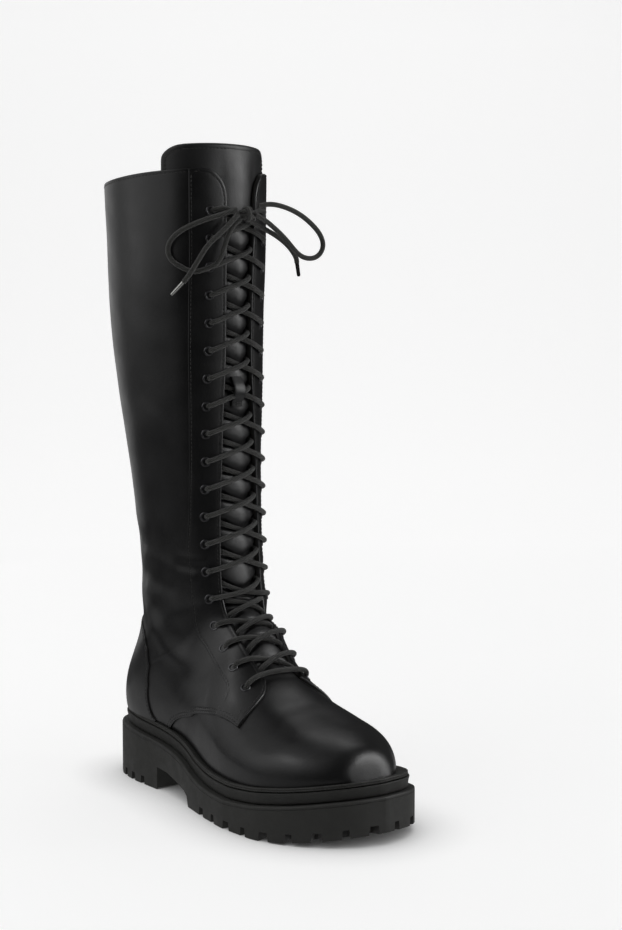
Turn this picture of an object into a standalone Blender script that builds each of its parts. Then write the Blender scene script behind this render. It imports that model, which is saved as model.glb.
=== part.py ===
"""Right lace-up knee boot on a lug sole, with an inside zip.

Every soft form comes from one closed form of the foot and leg, last_surface(station, angle, offset).
A station runs from the toe (0) to above the collar (20), and each whole station is one row of
LAST_ROWS: a plane section that stands upright in the foot, turns about the instep and lies level
in the shaft.  The angle runs round the section from the front or top (0) to the medial side (+)
and the lateral side (-).  The toe points along -Y, the medial side is +X, and the floor is z = 0.
"""
from collections import namedtuple
import math

import bmesh
import bpy
from mathutils import Matrix, Vector
import numpy as np

MM = 0.001
SHARP_ANGLE = math.radians(40)
BOOT = "knee_boot_right"

# --- driving sizes ----------------------------------------------------------------------------
SOLE_LENGTH = 295.0 * MM
MIDLINE_X = -0.65 * MM          # puts the middle of the whole boot on x = 0
CLEARANCE = 0.3 * MM            # between pieces that touch
MIDSOLE_THICKNESS = 8.1 * MM
WELT_THICKNESS = 2.8 * MM
INSOLE_THICKNESS = 3.0 * MM
LEATHER_THICKNESS = 2.0 * MM
COUNTER_THICKNESS = 1.2 * MM
COUNTER_LIFT = 0.5 * MM         # above the upper, which it hugs
TONGUE_THICKNESS = 3.5 * MM
MIDSOLE_INSET = 4.3 * MM        # from the outsole's edge
WELT_INSET = 4.9 * MM
WELT_WIDTH = 12.0 * MM
UPPER_INSET = 7.3 * MM          # outsole's edge to the foot of the upper
INSOLE_INSET = 12.0 * MM
# How much further the upper stands in from the sole's edge at the toe, by share of its length.
TOE_ROOM = ((0.830, 0.856, 0.912, 0.944), (0.0, 1.5 * MM, 6.5 * MM, 9.0 * MM))
LACE_RADIUS = 1.8 * MM
EYELETS_A_SIDE = 19
TIP_SHARE = 0.0005              # how near the tips of the outline the outsole starts and ends
INNER_TIP_SHARE = 0.003         # the same for the layers set in from its edge

# Outsole seen from above: share of the length from the heel, width to each side of the midline.
SoleWidth = namedtuple("SoleWidth", "share lateral medial")
SOLE_WIDTHS = [SoleWidth(share, lateral * MM, medial * MM) for share, lateral, medial in (
    (0.000, 0.0, 0.0),
    (0.012, 13.0, 13.5),
    (0.045, 24.5, 25.0),
    (0.100, 33.0, 32.5),
    (0.180, 37.5, 36.0),
    (0.280, 39.0, 36.0),
    (0.380, 43.0, 36.5),
    (0.480, 50.0, 39.5),
    (0.580, 57.0, 46.0),
    (0.680, 61.5, 53.0),
    (0.760, 61.5, 56.5),
    (0.840, 55.5, 55.0),
    (0.900, 45.5, 48.5),
    (0.950, 32.5, 38.0),
    (0.985, 16.0, 22.5),
    (1.000, 0.0, 2.0),
)]

# Outsole seen from the side: the height of its upper edge, and of its underside.
SoleHeight = namedtuple("SoleHeight", "share height")
SOLE_TOP = [SoleHeight(share, height * MM) for share, height in (
    (0.00, 40.0),
    (0.10, 39.5),
    (0.20, 37.5),
    (0.30, 35.0),
    (0.36, 32.7),
    (0.415, 29.3),
    (0.475, 24.2),
    (0.54, 21.0),
    (0.60, 20.0),
    (0.66, 20.0),
    (0.72, 21.0),
    (0.80, 23.7),
    (0.87, 26.5),
    (0.93, 29.5),
    (1.00, 33.0),
)]
HEEL_BREAST = 0.278             # share of the length where the heel ends
SOLE_UNDERSIDE = [SoleHeight(share, height * MM) for share, height in (
    (0.000, 0.0),
    (HEEL_BREAST, 0.0),
    (HEEL_BREAST + 0.001, 16.5),
    (0.330, 15.8),
    (0.385, 12.5),
    (0.435, 9.5),
    (0.452, 7.0),
    (0.462, 0.0),
    (0.780, 0.0),
    (0.850, 1.2),
    (0.920, 3.8),
    (1.000, 8.5),
)]

# Foot rows: the section's top and base in the side view, how far its half width passes the
# sole's half width less UPPER_INSET (swell), how far its crown leans to the medial side (ridge),
# the share of its height that is widest (waist), and its squareness above and below that.
FootRow = namedtuple("FootRow", "top_y top_z base_y base_z middle swell ridge waist top_square base_square")
FOOT_ROWS = [FootRow(*row) for row in (
    (-135.0, 41.5, -135.5, 33.0, -3.0, -10.5, 0.0, 0.50, 2.0, 2.6),
    (-129.5, 57.0, -131.0, 30.0, -3.0, -6.5, 0.0, 0.46, 1.95, 3.0),
    (-118.0, 64.5, -121.5, 26.0, -2.5, -3.5, 0.0, 0.42, 2.0, 3.4),
    (-100.5, 69.5, -105.0, 23.0, -1.0, -0.5, 2.5, 0.40, 2.2, 4.0),
    (-80.0, 74.0, -82.0, 20.0, 0.0, 0.0, 7.0, 0.38, 2.3, 4.5),
    (-55.0, 81.0, -55.0, 18.0, 0.0, 0.0, 11.0, 0.38, 2.2, 4.5),
    (-30.0, 94.0, -25.0, 18.0, 0.0, 0.5, 11.5, 0.38, 2.1, 4.5),
    (-14.0, 110.0, 10.0, 22.0, 0.0, 2.0, 11.0, 0.40, 2.2, 3.8),
    (-5.0, 121.0, 50.0, 28.0, -0.5, 3.0, 11.0, 0.42, 2.4, 3.0),
    (2.5, 127.0, 95.0, 30.0, -0.5, 4.5, 9.5, 0.45, 2.5, 2.6),
)]

# Shaft rows: the front and back of each section, its middle, half width, ridge and squareness.
ShaftRow = namedtuple("ShaftRow", "front_y front_z back_y back_z middle half_width ridge square")
SHAFT_ROWS = [ShaftRow(*row) for row in (
    (9.0, 132.0, 134.5, 39.0, -0.5, 36.0, 7.0, 2.3),
    (14.5, 137.5, 134.0, 73.0, 2.0, 38.5, 4.5, 2.3),
    (18.5, 144.0, 116.5, 108.0, 4.5, 40.5, 2.0, 2.25),
    (20.5, 151.5, 117.0, 151.5, 5.3, 39.8, 0.0, 2.2),
    (25.0, 191.5, 121.0, 191.5, 5.2, 41.3, 0.0, 2.2),
    (27.0, 241.5, 128.0, 241.5, 4.3, 44.4, 0.0, 2.2),
    (27.0, 291.5, 136.5, 291.5, 3.7, 48.7, 0.0, 2.2),
    (26.0, 341.5, 142.0, 341.5, 2.5, 52.1, 0.0, 2.2),
    (23.0, 391.5, 143.0, 391.5, 1.5, 54.0, 0.0, 2.2),
    (22.0, 441.5, 144.5, 441.5, 1.1, 55.3, 0.0, 2.2),
    (21.5, 491.5, 145.5, 491.5, 1.0, 56.0, 0.0, 2.2),
)]

COLLAR_FRONT_Z = 452.0 * MM     # the collar's edge falls a little to the back
COLLAR_BACK_Z = 443.0 * MM
COLLAR_FRONT_Y = 22.0 * MM
COLLAR_BACK_Y = 144.5 * MM

# The throat's two edges, as x on the form at a station, from its foot on the vamp to the collar.
ThroatEdge = namedtuple("ThroatEdge", "station lateral medial")
THROAT = [ThroatEdge(station, lateral * MM, medial * MM) for station, lateral, medial in (
    (5.90, -12.0, 18.0),
    (6.02, -9.9, 21.0),
    (6.60, -10.2, 21.5),
    (7.23, -11.2, 20.5),
    (8.94, -10.0, 21.5),
    (11.64, -9.6, 24.5),
    (13.10, -9.6, 26.0),
    (14.00, -8.2, 27.3),
    (15.00, -6.0, 26.0),
    (15.60, -5.0, 23.5),
    (16.70, -3.0, 19.5),
    (17.90, -4.5, 19.0),
    (18.70, -5.0, 21.0),
    (18.90, -5.2, 21.5),
    (19.02, -6.6, 23.0),
    (19.12, -9.6, 26.0),
    (19.20, -15.0, 31.4),
    (19.30, -17.0, 33.4),
    (19.60, -17.0, 33.4),
)]
EYELET_STATIONS = (6.20, 18.61)         # bottom pair and top pair
EyeletInset = namedtuple("EyeletInset", "station lateral medial")       # from the throat's edges
EYELET_INSETS = [EyeletInset(station, lateral * MM, medial * MM) for station, lateral, medial in (
    (6.2, 15.5, 9.5),
    (7.0, 14.2, 9.8),
    (8.4, 12.2, 10.0),
    (10.3, 10.4, 10.0),
    (12.5, 9.9, 10.2),
    (13.4, 11.0, 11.0),
    (15.0, 12.8, 12.8),
    (16.4, 14.8, 14.8),
    (18.6, 13.8, 13.8),
)]

# The zip's line on the medial side, and the counter's front edge on both sides.
StationAngle = namedtuple("StationAngle", "station angle")
ZIP_LINE = [StationAngle(*row) for row in (
    (8.47, 93.0),
    (9.04, 86.0),
    (10.20, 78.0),
    (12.20, 78.0),
    (14.20, 80.0),
    (16.00, 84.5),
    (17.40, 88.5),
    (18.70, 91.0),
    (19.60, 91.0),
)]
COUNTER_EDGE = [StationAngle(*row) for row in (
    (9.00, 118.0),
    (9.42, 106.0),
    (9.83, 97.0),
    (10.37, 92.0),
    (10.97, 94.0),
    (11.60, 104.0),
    (12.00, 115.0),
    (12.30, 132.0),
    (12.45, 158.0),
)]


# --- curves through tables --------------------------------------------------------------------
def smooth(xs, ys, at):
    """Read a table at any x along the natural cubic spline through its rows."""
    xs = np.asarray(xs, float)
    ys = np.asarray(ys, float)
    steps = np.diff(xs)
    slopes = np.diff(ys) / steps
    system = np.eye(len(xs))
    target = np.zeros(len(xs))
    for row in range(1, len(xs) - 1):
        system[row, row - 1:row + 2] = steps[row - 1], 2 * (steps[row - 1] + steps[row]), steps[row]
        target[row] = 6 * (slopes[row] - slopes[row - 1])
    bend = np.linalg.solve(system, target)
    at = np.clip(at, xs[0], xs[-1])
    low = np.clip(np.searchsorted(xs, at) - 1, 0, len(xs) - 2)
    step = steps[low]
    before = (xs[low + 1] - at) / step
    after = (at - xs[low]) / step
    curve = (before ** 3 - before) * bend[low] + (after ** 3 - after) * bend[low + 1]
    return before * ys[low] + after * ys[low + 1] + curve * step ** 2 / 6


def unbent(xs, ys, at):
    """Read a table along a cubic that never passes beyond its rows (monotone Hermite)."""
    xs = np.asarray(xs, float)
    ys = np.asarray(ys, float)
    steps = np.diff(xs)
    slopes = np.diff(ys) / steps
    tangents = np.zeros(len(xs))
    for row in range(1, len(xs) - 1):
        if slopes[row - 1] * slopes[row] > 0:
            near = 2 * steps[row] + steps[row - 1]
            far = steps[row] + 2 * steps[row - 1]
            tangents[row] = (near + far) / (near / slopes[row - 1] + far / slopes[row])
    tangents[0] = slopes[0]
    tangents[-1] = slopes[-1]
    at = np.clip(at, xs[0], xs[-1])
    low = np.clip(np.searchsorted(xs, at) - 1, 0, len(xs) - 2)
    part = (at - xs[low]) / steps[low]
    rest = 1 - part
    start = ys[low] * (1 + 2 * part) * rest ** 2 + tangents[low] * steps[low] * part * rest ** 2
    end = ys[low + 1] * part ** 2 * (3 - 2 * part) - tangents[low + 1] * steps[low] * part ** 2 * rest
    return start + end


def table_curve(rows, column, at, curve=unbent):
    """One named column of a table, read against its first column."""
    return curve([row[0] for row in rows], [getattr(row, column) for row in rows], at)


# --- the sole's outline and heights -----------------------------------------------------------
def share_of(y):
    """The share of the sole's length from the heel at a place along the foot."""
    return np.clip((SOLE_LENGTH / 2 - np.asarray(y)) / SOLE_LENGTH, 0, 1)


def sole_top(y):
    return table_curve(SOLE_TOP, "height", share_of(y))


def sole_underside(y):
    """Straight from row to row, so that the heel and forefoot stay flat on the floor."""
    shares = [row.share for row in SOLE_UNDERSIDE]
    return np.interp(share_of(y), shares, [row.height for row in SOLE_UNDERSIDE])


def upper_foot_z(y):
    """The height at which the upper meets the welt."""
    return sole_top(y) + MIDSOLE_THICKNESS + WELT_THICKNESS + 3 * CLEARANCE


def outline_sides(shares, inset):
    """The lateral and medial edges of the sole at each share, moved in by an inset."""
    sides = []
    for column, sign in (("lateral", -1), ("medial", 1)):
        x = MIDLINE_X + sign * table_curve(SOLE_WIDTHS, column, shares)
        y = SOLE_LENGTH / 2 - shares * SOLE_LENGTH
        slope_x = np.gradient(x)
        slope_y = np.gradient(y)
        length = np.hypot(slope_x, slope_y)
        sides.append(np.stack([x + sign * slope_y / length * inset, y - sign * slope_x / length * inset], 1))
    return sides


def even_shares(count, margin):
    """Shares of the sole's length, closer together at the toe and heel."""
    turn = np.linspace(0, math.pi, count)
    return margin + (1 - 2 * margin) * (0.5 - 0.5 * np.cos(turn))


# --- the form of foot and leg -----------------------------------------------------------------
def last_rows():
    """All section rows as one array, in metres, foot first."""
    rows = []
    for row in FOOT_ROWS:
        share = share_of(row.base_y * MM)
        lateral = table_curve(SOLE_WIDTHS, "lateral", share)
        medial = table_curve(SOLE_WIDTHS, "medial", share)
        half_width = (lateral + medial) / 2 - UPPER_INSET + row.swell * MM
        middle = MIDLINE_X + (medial - lateral) / 2 + row.middle * MM
        rows.append([row.top_y * MM, row.top_z * MM, row.base_y * MM, row.base_z * MM, middle,
                     half_width, row.ridge * MM, row.waist, row.top_square, row.base_square])
    for row in SHAFT_ROWS:
        rows.append([row.front_y * MM, row.front_z * MM, row.back_y * MM, row.back_z * MM,
                     MIDLINE_X + row.middle * MM, row.half_width * MM, row.ridge * MM, 0.5,
                     row.square, row.square])
    return np.array(rows)


LAST_ROWS = last_rows()
LAST_STATION = len(LAST_ROWS) - 1


def last_point(station, angle):
    """Points of the form, for arrays of stations and of angles in degrees."""
    station, angle = np.broadcast_arrays(np.asarray(station, float), np.asarray(angle, float))
    flat = station.ravel()
    places = np.arange(len(LAST_ROWS))
    columns = [smooth(places, LAST_ROWS[:, column], flat).reshape(station.shape)
               for column in range(LAST_ROWS.shape[1])]
    top_y, top_z, base_y, base_z, middle, half_width, ridge, waist, top_square, base_square = columns
    turn = np.radians(angle)
    upward = np.cos(turn)
    sideways = np.sin(turn)
    power = 2 / np.where(upward > 0, top_square, base_square)
    rise = np.sign(upward) * np.abs(upward) ** power
    spread = np.sign(sideways) * np.abs(sideways) ** power
    share = waist + np.where(rise > 0, 1 - waist, waist) * rise
    x = middle + half_width * spread + ridge * np.clip(rise, 0, 1) ** 1.5
    return np.stack([x, base_y + (top_y - base_y) * share, base_z + (top_z - base_z) * share], -1)


def last_normal(station, angle):
    """Outward unit normals of the form."""
    station, angle = np.broadcast_arrays(np.asarray(station, float), np.asarray(angle, float))
    before = np.clip(station - 0.02, 0, LAST_STATION)
    after = np.clip(station + 0.02, 0, LAST_STATION)
    along = last_point(after, angle) - last_point(before, angle)
    around = last_point(station, angle + 1.0) - last_point(station, angle - 1.0)
    normal = np.cross(around, along)
    return normal / np.linalg.norm(normal, axis=-1, keepdims=True)


def last_surface(station, angle, offset=0.0):
    """The form moved out (or in) by an offset: the one function that shapes every soft piece."""
    return last_point(station, angle) + last_normal(station, angle) * np.asarray(offset)[..., None]


def angle_at_x(station, x):
    """The angle on the front of a section where the form passes a given x."""
    angles = np.linspace(-85, 85, 341)
    return np.interp(x, last_point(station, angles)[:, 0], angles)


def grid(stations, angles, offset):
    """A patch of the form: a row of points for each station, angles one row each or shared."""
    angles = np.asarray(angles, float)
    if angles.ndim == 1:
        angles = np.broadcast_to(angles, (len(stations), len(angles)))
    return last_surface(np.asarray(stations)[:, None], angles, offset)


# --- making objects ---------------------------------------------------------------------------
def clear_scene():
    for old in list(bpy.data.objects):
        bpy.data.objects.remove(old, do_unlink=True)


def collection(name):
    made = bpy.data.collections.new(name)
    bpy.context.scene.collection.children.link(made)
    return made


clear_scene()
PARTS = collection(BOOT)
CUTTERS = collection(BOOT + "_cutters")


def material(name, colour, roughness, metallic=0.0):
    """A plain Principled material."""
    made = bpy.data.materials.new(name)
    made.use_nodes = True
    shader = made.node_tree.nodes["Principled BSDF"]
    shader.inputs["Base Color"].default_value = (*colour, 1)
    shader.inputs["Roughness"].default_value = roughness
    shader.inputs["Metallic"].default_value = metallic
    made.diffuse_color = (*colour, 1)
    return made


def place_object(name, data, finish, place=None):
    """Put new data in the scene: a part if it has a finish, else a cutter, which is never rendered."""
    made = bpy.data.objects.new(name, data)
    if isinstance(data, bpy.types.Mesh):
        data.shade_smooth()
        data.set_sharp_from_angle(angle=SHARP_ANGLE)
    if place is not None:
        made.matrix_world = place
    if finish is None:
        CUTTERS.objects.link(made)
        made.hide_render = True
        made.display_type = "WIRE"
    else:
        PARTS.objects.link(made)
        data.materials.append(finish)
    return made


def mesh_object(name, points, faces, finish):
    """A mesh object with its faces turned outward."""
    mesh = bpy.data.meshes.new(name)
    mesh.from_pydata([tuple(point) for point in points], [], faces)
    work = bmesh.new()
    work.from_mesh(mesh)
    bmesh.ops.recalc_face_normals(work, faces=work.faces)
    work.to_mesh(mesh)
    work.free()
    return place_object(name, mesh, finish)


def slab(name, low, high, finish=None):
    """A closed solid between two patches with the same rows and columns."""
    rows, columns = low.shape[:2]
    points = np.concatenate([low.reshape(-1, 3), high.reshape(-1, 3)])
    lift = rows * columns

    def at(row, column, level=0):
        return level * lift + row * columns + column

    faces = []
    for row in range(rows - 1):
        for column in range(columns - 1):
            cell = [at(row, column), at(row, column + 1), at(row + 1, column + 1), at(row + 1, column)]
            faces.append(cell)
            faces.append([corner + lift for corner in reversed(cell)])
    rim = [(0, column) for column in range(columns)]
    rim += [(row, columns - 1) for row in range(1, rows)]
    rim += [(rows - 1, column) for column in range(columns - 2, -1, -1)]
    rim += [(row, 0) for row in range(rows - 2, 0, -1)]
    for here, there in zip(rim, rim[1:] + rim[:1]):
        faces.append([at(*here), at(*there), at(*there, 1), at(*here, 1)])
    return mesh_object(name, points, faces, finish)


def hoop(name, rings, finish=None, closed=False):
    """A loft through closed rings: capped at both ends, or closed on itself."""
    rows, columns = rings.shape[:2]
    faces = []
    for row in range(rows if closed else rows - 1):
        following = (row + 1) % rows
        for column in range(columns):
            beside = (column + 1) % columns
            faces.append([row * columns + column, row * columns + beside,
                          following * columns + beside, following * columns + column])
    if not closed:
        faces.append(list(range(columns)))
        faces.append([(rows - 1) * columns + column for column in range(columns)])
    return mesh_object(name, rings.reshape(-1, 3), faces, finish)


def cut(target, cutter, operation="DIFFERENCE"):
    """Add a Boolean that cuts (or joins) one object with another."""
    change = target.modifiers.new(operation.title() + " " + cutter.name, "BOOLEAN")
    change.operation = operation
    change.solver = "EXACT"
    change.object = cutter
    return change


def mesh_of(name, work):
    """The mesh data of a finished bmesh."""
    mesh = bpy.data.meshes.new(name)
    work.to_mesh(mesh)
    work.free()
    return mesh


def add_box(work, size, place):
    """A box of a given size, turned and placed by a matrix, added to a bmesh."""
    made = bmesh.ops.create_cube(work, size=1.0)
    bmesh.ops.transform(work, matrix=place @ Matrix.Diagonal((*size, 1)), verts=made["verts"])


def cord_curve(name, routes, radius, roundness=2):
    """Round cords along lists of points, as one bevelled curve with filled ends."""
    curve = bpy.data.curves.new(name, "CURVE")
    curve.dimensions = "3D"
    curve.bevel_depth = radius
    curve.bevel_resolution = roundness
    curve.use_fill_caps = True
    for route in routes:
        spline = curve.splines.new("POLY")
        spline.points.add(len(route) - 1)
        for spot, point in zip(spline.points, route):
            spot.co = (*point, 1)
    return curve


def smooth_route(points, spacing):
    """Evenly spaced points on the smooth curve through a cord's own points."""
    points = np.asarray(points, float)
    reach = np.concatenate([[0], np.cumsum(np.linalg.norm(np.diff(points, axis=0), axis=1))])
    count = max(3, int(round(reach[-1] / spacing)) + 1)
    at = np.linspace(0, reach[-1], count)
    return np.stack([smooth(reach, points[:, axis], at) for axis in range(3)], 1)


# --- finishes ---------------------------------------------------------------------------------
BLACK_LEATHER = material("black_leather", (0.012, 0.012, 0.013), 0.38)
TONGUE_LEATHER = material("tongue_leather", (0.016, 0.016, 0.017), 0.42)
SOLE_RUBBER = material("sole_rubber", (0.024, 0.024, 0.022), 0.72)
INSOLE_BOARD = material("insole_board", (0.03, 0.03, 0.03), 0.85)
LACE_CORD = material("lace_cord", (0.035, 0.035, 0.032), 0.85)
LACE_TIP = material("lace_tip", (0.35, 0.35, 0.35), 0.25, 1.0)
BLACK_METAL = material("black_metal", (0.03, 0.03, 0.032), 0.28, 1.0)
ZIP_FABRIC = material("zip_fabric", (0.015, 0.015, 0.015), 0.9)

# --- sole -------------------------------------------------------------------------------------
NOTCH_SPACING = 19.5 * MM
HEEL_NOTCH_SPACING = 14.4 * MM
NOTCH_WIDTHS = (7.0 * MM, 5.0 * MM)
NOTCH_DEPTH = 13.0 * MM
NOTCH_HEIGHT = 6.0 * MM
FOREFOOT_START = 0.49           # share of the length where the forefoot's lugs begin


def sole_slab(name, inset, low_z, high_z, shares, finish):
    """A layer of the sole: a slab across the outline, its faces following two height curves."""
    lateral, medial = outline_sides(shares, inset)
    flat = np.stack([lateral, medial], 1)
    low = np.concatenate([flat, low_z(flat[..., 1])[..., None]], -1)
    high = np.concatenate([flat, high_z(flat[..., 1])[..., None]], -1)
    return slab(name, low, high, finish)


def edge_places(start_share, end_share, spacing):
    """Evenly spaced points with inward directions along the outline, from the lateral side at
    start_share round the end of the sole to the medial side."""
    shares = np.linspace(start_share, end_share, 200)
    lateral, medial = outline_sides(shares, 0.0)
    walk = np.concatenate([lateral, medial[::-1]])
    reach = np.concatenate([[0], np.cumsum(np.linalg.norm(np.diff(walk, axis=0), axis=1))])
    count = int(reach[-1] / spacing)
    first = (reach[-1] - (count - 1) * spacing) / 2
    places = []
    for number in range(count):
        at = first + number * spacing
        here, back, ahead = (np.array([np.interp(at + step, reach, walk[:, axis]) for axis in (0, 1)])
                             for step in (0, -2 * MM, 2 * MM))
        along = (ahead - back) / np.linalg.norm(ahead - back)
        inward = np.array([-along[1], along[0]])
        middle = walk.mean(axis=0)
        if inward @ (middle - here) < 0:
            inward = -inward
        places.append((here, inward))
    return places


def notch_cutter():
    """All the notches between the lugs of the sole's edge, as one cutter."""
    work = bmesh.new()
    forefoot = edge_places(FOREFOOT_START, 0.998, NOTCH_SPACING)
    heel = edge_places(HEEL_BREAST - 0.03, 0.002, HEEL_NOTCH_SPACING)
    for number, (point, inward) in enumerate(forefoot + heel):
        width = NOTCH_WIDTHS[number % 2] if number < len(forefoot) else NOTCH_WIDTHS[1]
        tread = float(sole_underside(point[1]))
        turn = math.atan2(inward[1], inward[0])
        place = Matrix.Translation((point[0], point[1], tread)) @ Matrix.Rotation(turn, 4, "Z")
        add_box(work, (NOTCH_DEPTH * 2, width, NOTCH_HEIGHT * 2), place)
    return place_object("notches", mesh_of("notches", work), None)


def make_outsole():
    """Heel, arch and forefoot in one moulding, notched all round its tread."""
    rows = [row.share for row in SOLE_UNDERSIDE[1:-1]]
    shares = np.unique(np.concatenate([even_shares(44, TIP_SHARE), rows]))
    outsole = sole_slab("outsole", 0.0, sole_underside, sole_top, shares, SOLE_RUBBER)
    cut(outsole, notch_cutter())
    return outsole


def make_midsole():
    """The band between outsole and welt."""
    def low(y):
        return sole_top(y) + CLEARANCE

    def high(y):
        return sole_top(y) + CLEARANCE + MIDSOLE_THICKNESS

    return sole_slab("midsole", MIDSOLE_INSET, low, high, even_shares(44, INNER_TIP_SHARE), SOLE_RUBBER)


def make_welt():
    """The beaded strip that runs round the foot of the upper."""
    low = 2 * CLEARANCE + MIDSOLE_THICKNESS
    high = low + WELT_THICKNESS
    bead = 0.7 * MM
    shares = even_shares(38, INNER_TIP_SHARE)
    inner = WELT_INSET + WELT_WIDTH + np.interp(shares, *TOE_ROOM)
    profile = [(inner, low), (WELT_INSET + bead, low), (WELT_INSET, low + bead),
               (WELT_INSET, high - bead), (WELT_INSET + bead, high), (inner, high)]
    loops = []
    for inset, lift in profile:
        lateral, medial = outline_sides(shares, inset)
        walk = np.concatenate([lateral, medial[::-1]])
        loops.append(np.concatenate([walk, sole_top(walk[:, 1])[:, None] + lift], 1))
    return hoop("welt", np.stack(loops, 1), SOLE_RUBBER, closed=True)


def make_insole():
    """The board that the foot stands on, inside the upper."""
    def low(y):
        return upper_foot_z(y)

    def high(y):
        return upper_foot_z(y) + INSOLE_THICKNESS

    shares = even_shares(40, INNER_TIP_SHARE)
    inset = INSOLE_INSET + np.interp(shares, *TOE_ROOM)
    return sole_slab("insole", inset, low, high, shares, INSOLE_BOARD)


# --- upper ------------------------------------------------------------------------------------
CUT_REACH = 8.0 * MM            # how far a cutter through the leather passes it on each side
ZIP_SLOT = 5.4 * MM
ZIP_CURVE = np.arange(8.75, 10.6, 0.25)         # stations along the curved foot of the zip
FOOT_STATIONS = np.concatenate([[0.0, 0.35, 0.7], np.arange(1.0, 13.1, 0.5)])
SHAFT_STATIONS = np.arange(13.75, 19.0, 0.75)
ROUND_ANGLES = np.arange(0, 360, 12)


def arc_per_degree(station, angle):
    """How far the form's surface runs for one degree of angle."""
    step = last_point(station, np.asarray(angle) + 0.5) - last_point(station, np.asarray(angle) - 0.5)
    return np.linalg.norm(step, axis=-1)


def beside(station, angle, distance):
    """The angle that lies a distance along the surface from a place on the form."""
    return angle + distance / arc_per_degree(station, angle)


def throat_angles(stations):
    """The throat's two edges as angles."""
    lateral = table_curve(THROAT, "lateral", stations)
    medial = table_curve(THROAT, "medial", stations)
    pairs = [(float(angle_at_x(station, MIDLINE_X + left)), float(angle_at_x(station, MIDLINE_X + right)))
             for station, left, right in zip(stations, lateral, medial)]
    return np.array(pairs)


def zip_angles(stations):
    return table_curve(ZIP_LINE, "angle", stations, smooth)


def between(edges, count):
    """Angles spread evenly between two edges, a row for each station."""
    share = np.linspace(0, 1, count)[None]
    return edges[:, :1] * (1 - share) + edges[:, 1:] * share


def block_under_foot(name, lift):
    """A block whose top follows the foot of the upper: it opens a piece underneath."""
    y = SOLE_LENGTH * np.linspace(0.6, -0.6, 50)
    x = np.array([-90.0, 90.0]) * MM
    wide, deep = np.meshgrid(x, y)
    low = np.stack([wide, deep, np.full_like(wide, -60 * MM)], -1)
    high = np.stack([wide, deep, upper_foot_z(deep) + lift], -1)
    return slab(name, low, high)


def strip_edges(stations, middle, width):
    """The two edges, as angles, of a strip of a given width along a line on the form."""
    return np.stack([beside(stations, middle, -width / 2), beside(stations, middle, width / 2)], 1)


def opening(name, stations, edges, columns):
    """A cutter through the leather between two edges."""
    angles = between(edges, columns)
    return slab(name, grid(stations, angles, -CUT_REACH), grid(stations, angles, CUT_REACH))


def collar_z(y):
    share = (y - COLLAR_FRONT_Y) / (COLLAR_BACK_Y - COLLAR_FRONT_Y)
    return COLLAR_FRONT_Z + (COLLAR_BACK_Z - COLLAR_FRONT_Z) * share


def make_upper():
    """One leather shell: open at the collar, down the throat and zip, and under the foot."""
    outer_stations = np.concatenate([FOOT_STATIONS, SHAFT_STATIONS, [19.4]])
    inner_stations = np.concatenate([FOOT_STATIONS, SHAFT_STATIONS, [19.7]])
    upper = hoop("upper", grid(outer_stations, ROUND_ANGLES, 0.0), BLACK_LEATHER)
    hollow = hoop("upper_hollow", grid(inner_stations, ROUND_ANGLES, -LEATHER_THICKNESS))
    cut(upper, hollow)
    cut(upper, block_under_foot("under_upper", 0.0))

    wide, deep = np.meshgrid(np.array([-90.0, 90.0]) * MM, np.array([180.0, -40.0]) * MM)
    low = np.stack([wide, deep, collar_z(deep)], -1)
    high = np.stack([wide, deep, np.full_like(wide, 520 * MM)], -1)
    cut(upper, slab("above_collar", low, high))

    stations = np.concatenate([[row.station for row in THROAT[:3]], np.arange(7.0, 18.6, 0.5),
                               [row.station for row in THROAT[-6:]]])
    cut(upper, opening("throat_opening", stations, throat_angles(stations), 4))
    stations = np.concatenate([[ZIP_CURVE[0] - 0.12], ZIP_CURVE, np.arange(11.0, 19.1, 0.5), [19.6]])
    cut(upper, opening("zip_opening", stations, strip_edges(stations, zip_angles(stations), ZIP_SLOT), 2))
    return upper


def make_heel_counter():
    """The stiff piece round the heel, cut between two larger forms of the upper."""
    stations = np.arange(9.0, 13.1, 0.5)
    angles = ROUND_ANGLES[np.abs(ROUND_ANGLES - 180) < 100]
    counter = slab("heel_counter", grid(stations, angles, COUNTER_LIFT),
                   grid(stations, angles, COUNTER_LIFT + COUNTER_THICKNESS), BLACK_LEATHER)
    stations = np.array([row.station for row in COUNTER_EDGE])
    front = table_curve(COUNTER_EDGE, "angle", stations)
    cut(counter, opening("counter_shape", stations, np.stack([front, 360 - front], 1), 15), "INTERSECT")
    cut(counter, block_under_foot("under_counter", CLEARANCE))
    return counter


TongueRow = namedtuple("TongueRow", "station half_width")
TONGUE_ROWS = [TongueRow(station, half_width * MM) for station, half_width in (
    (5.35, 22.0),
    (6.50, 28.0),
    (9.00, 32.0),
    (13.00, 40.0),
    (16.00, 44.0),
    (19.00, 48.0),
    (19.30, 47.0),
    (19.46, 43.0),
    (19.56, 34.0),
)]
TONGUE_GAP = 0.7 * MM           # under the upper's wall
TONGUE_SPLIT = 17.6             # the station where the tongue's top begins
SPLIT_GAP = 0.006               # in stations, of 50 mm each


def tongue_angles(stations):
    """The tongue's edges: each side of the throat's middle line."""
    throat = throat_angles(stations)
    middle = throat.mean(axis=1)
    return strip_edges(stations, middle, 2 * table_curve(TONGUE_ROWS, "half_width", stations))


def tongue_piece(name, stations):
    """A length of the tongue, between its first and last station."""
    angles = between(tongue_angles(stations), 9)
    outside = -LEATHER_THICKNESS - TONGUE_GAP
    return slab(name, grid(stations, angles, outside - TONGUE_THICKNESS),
                grid(stations, angles, outside), TONGUE_LEATHER)


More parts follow.
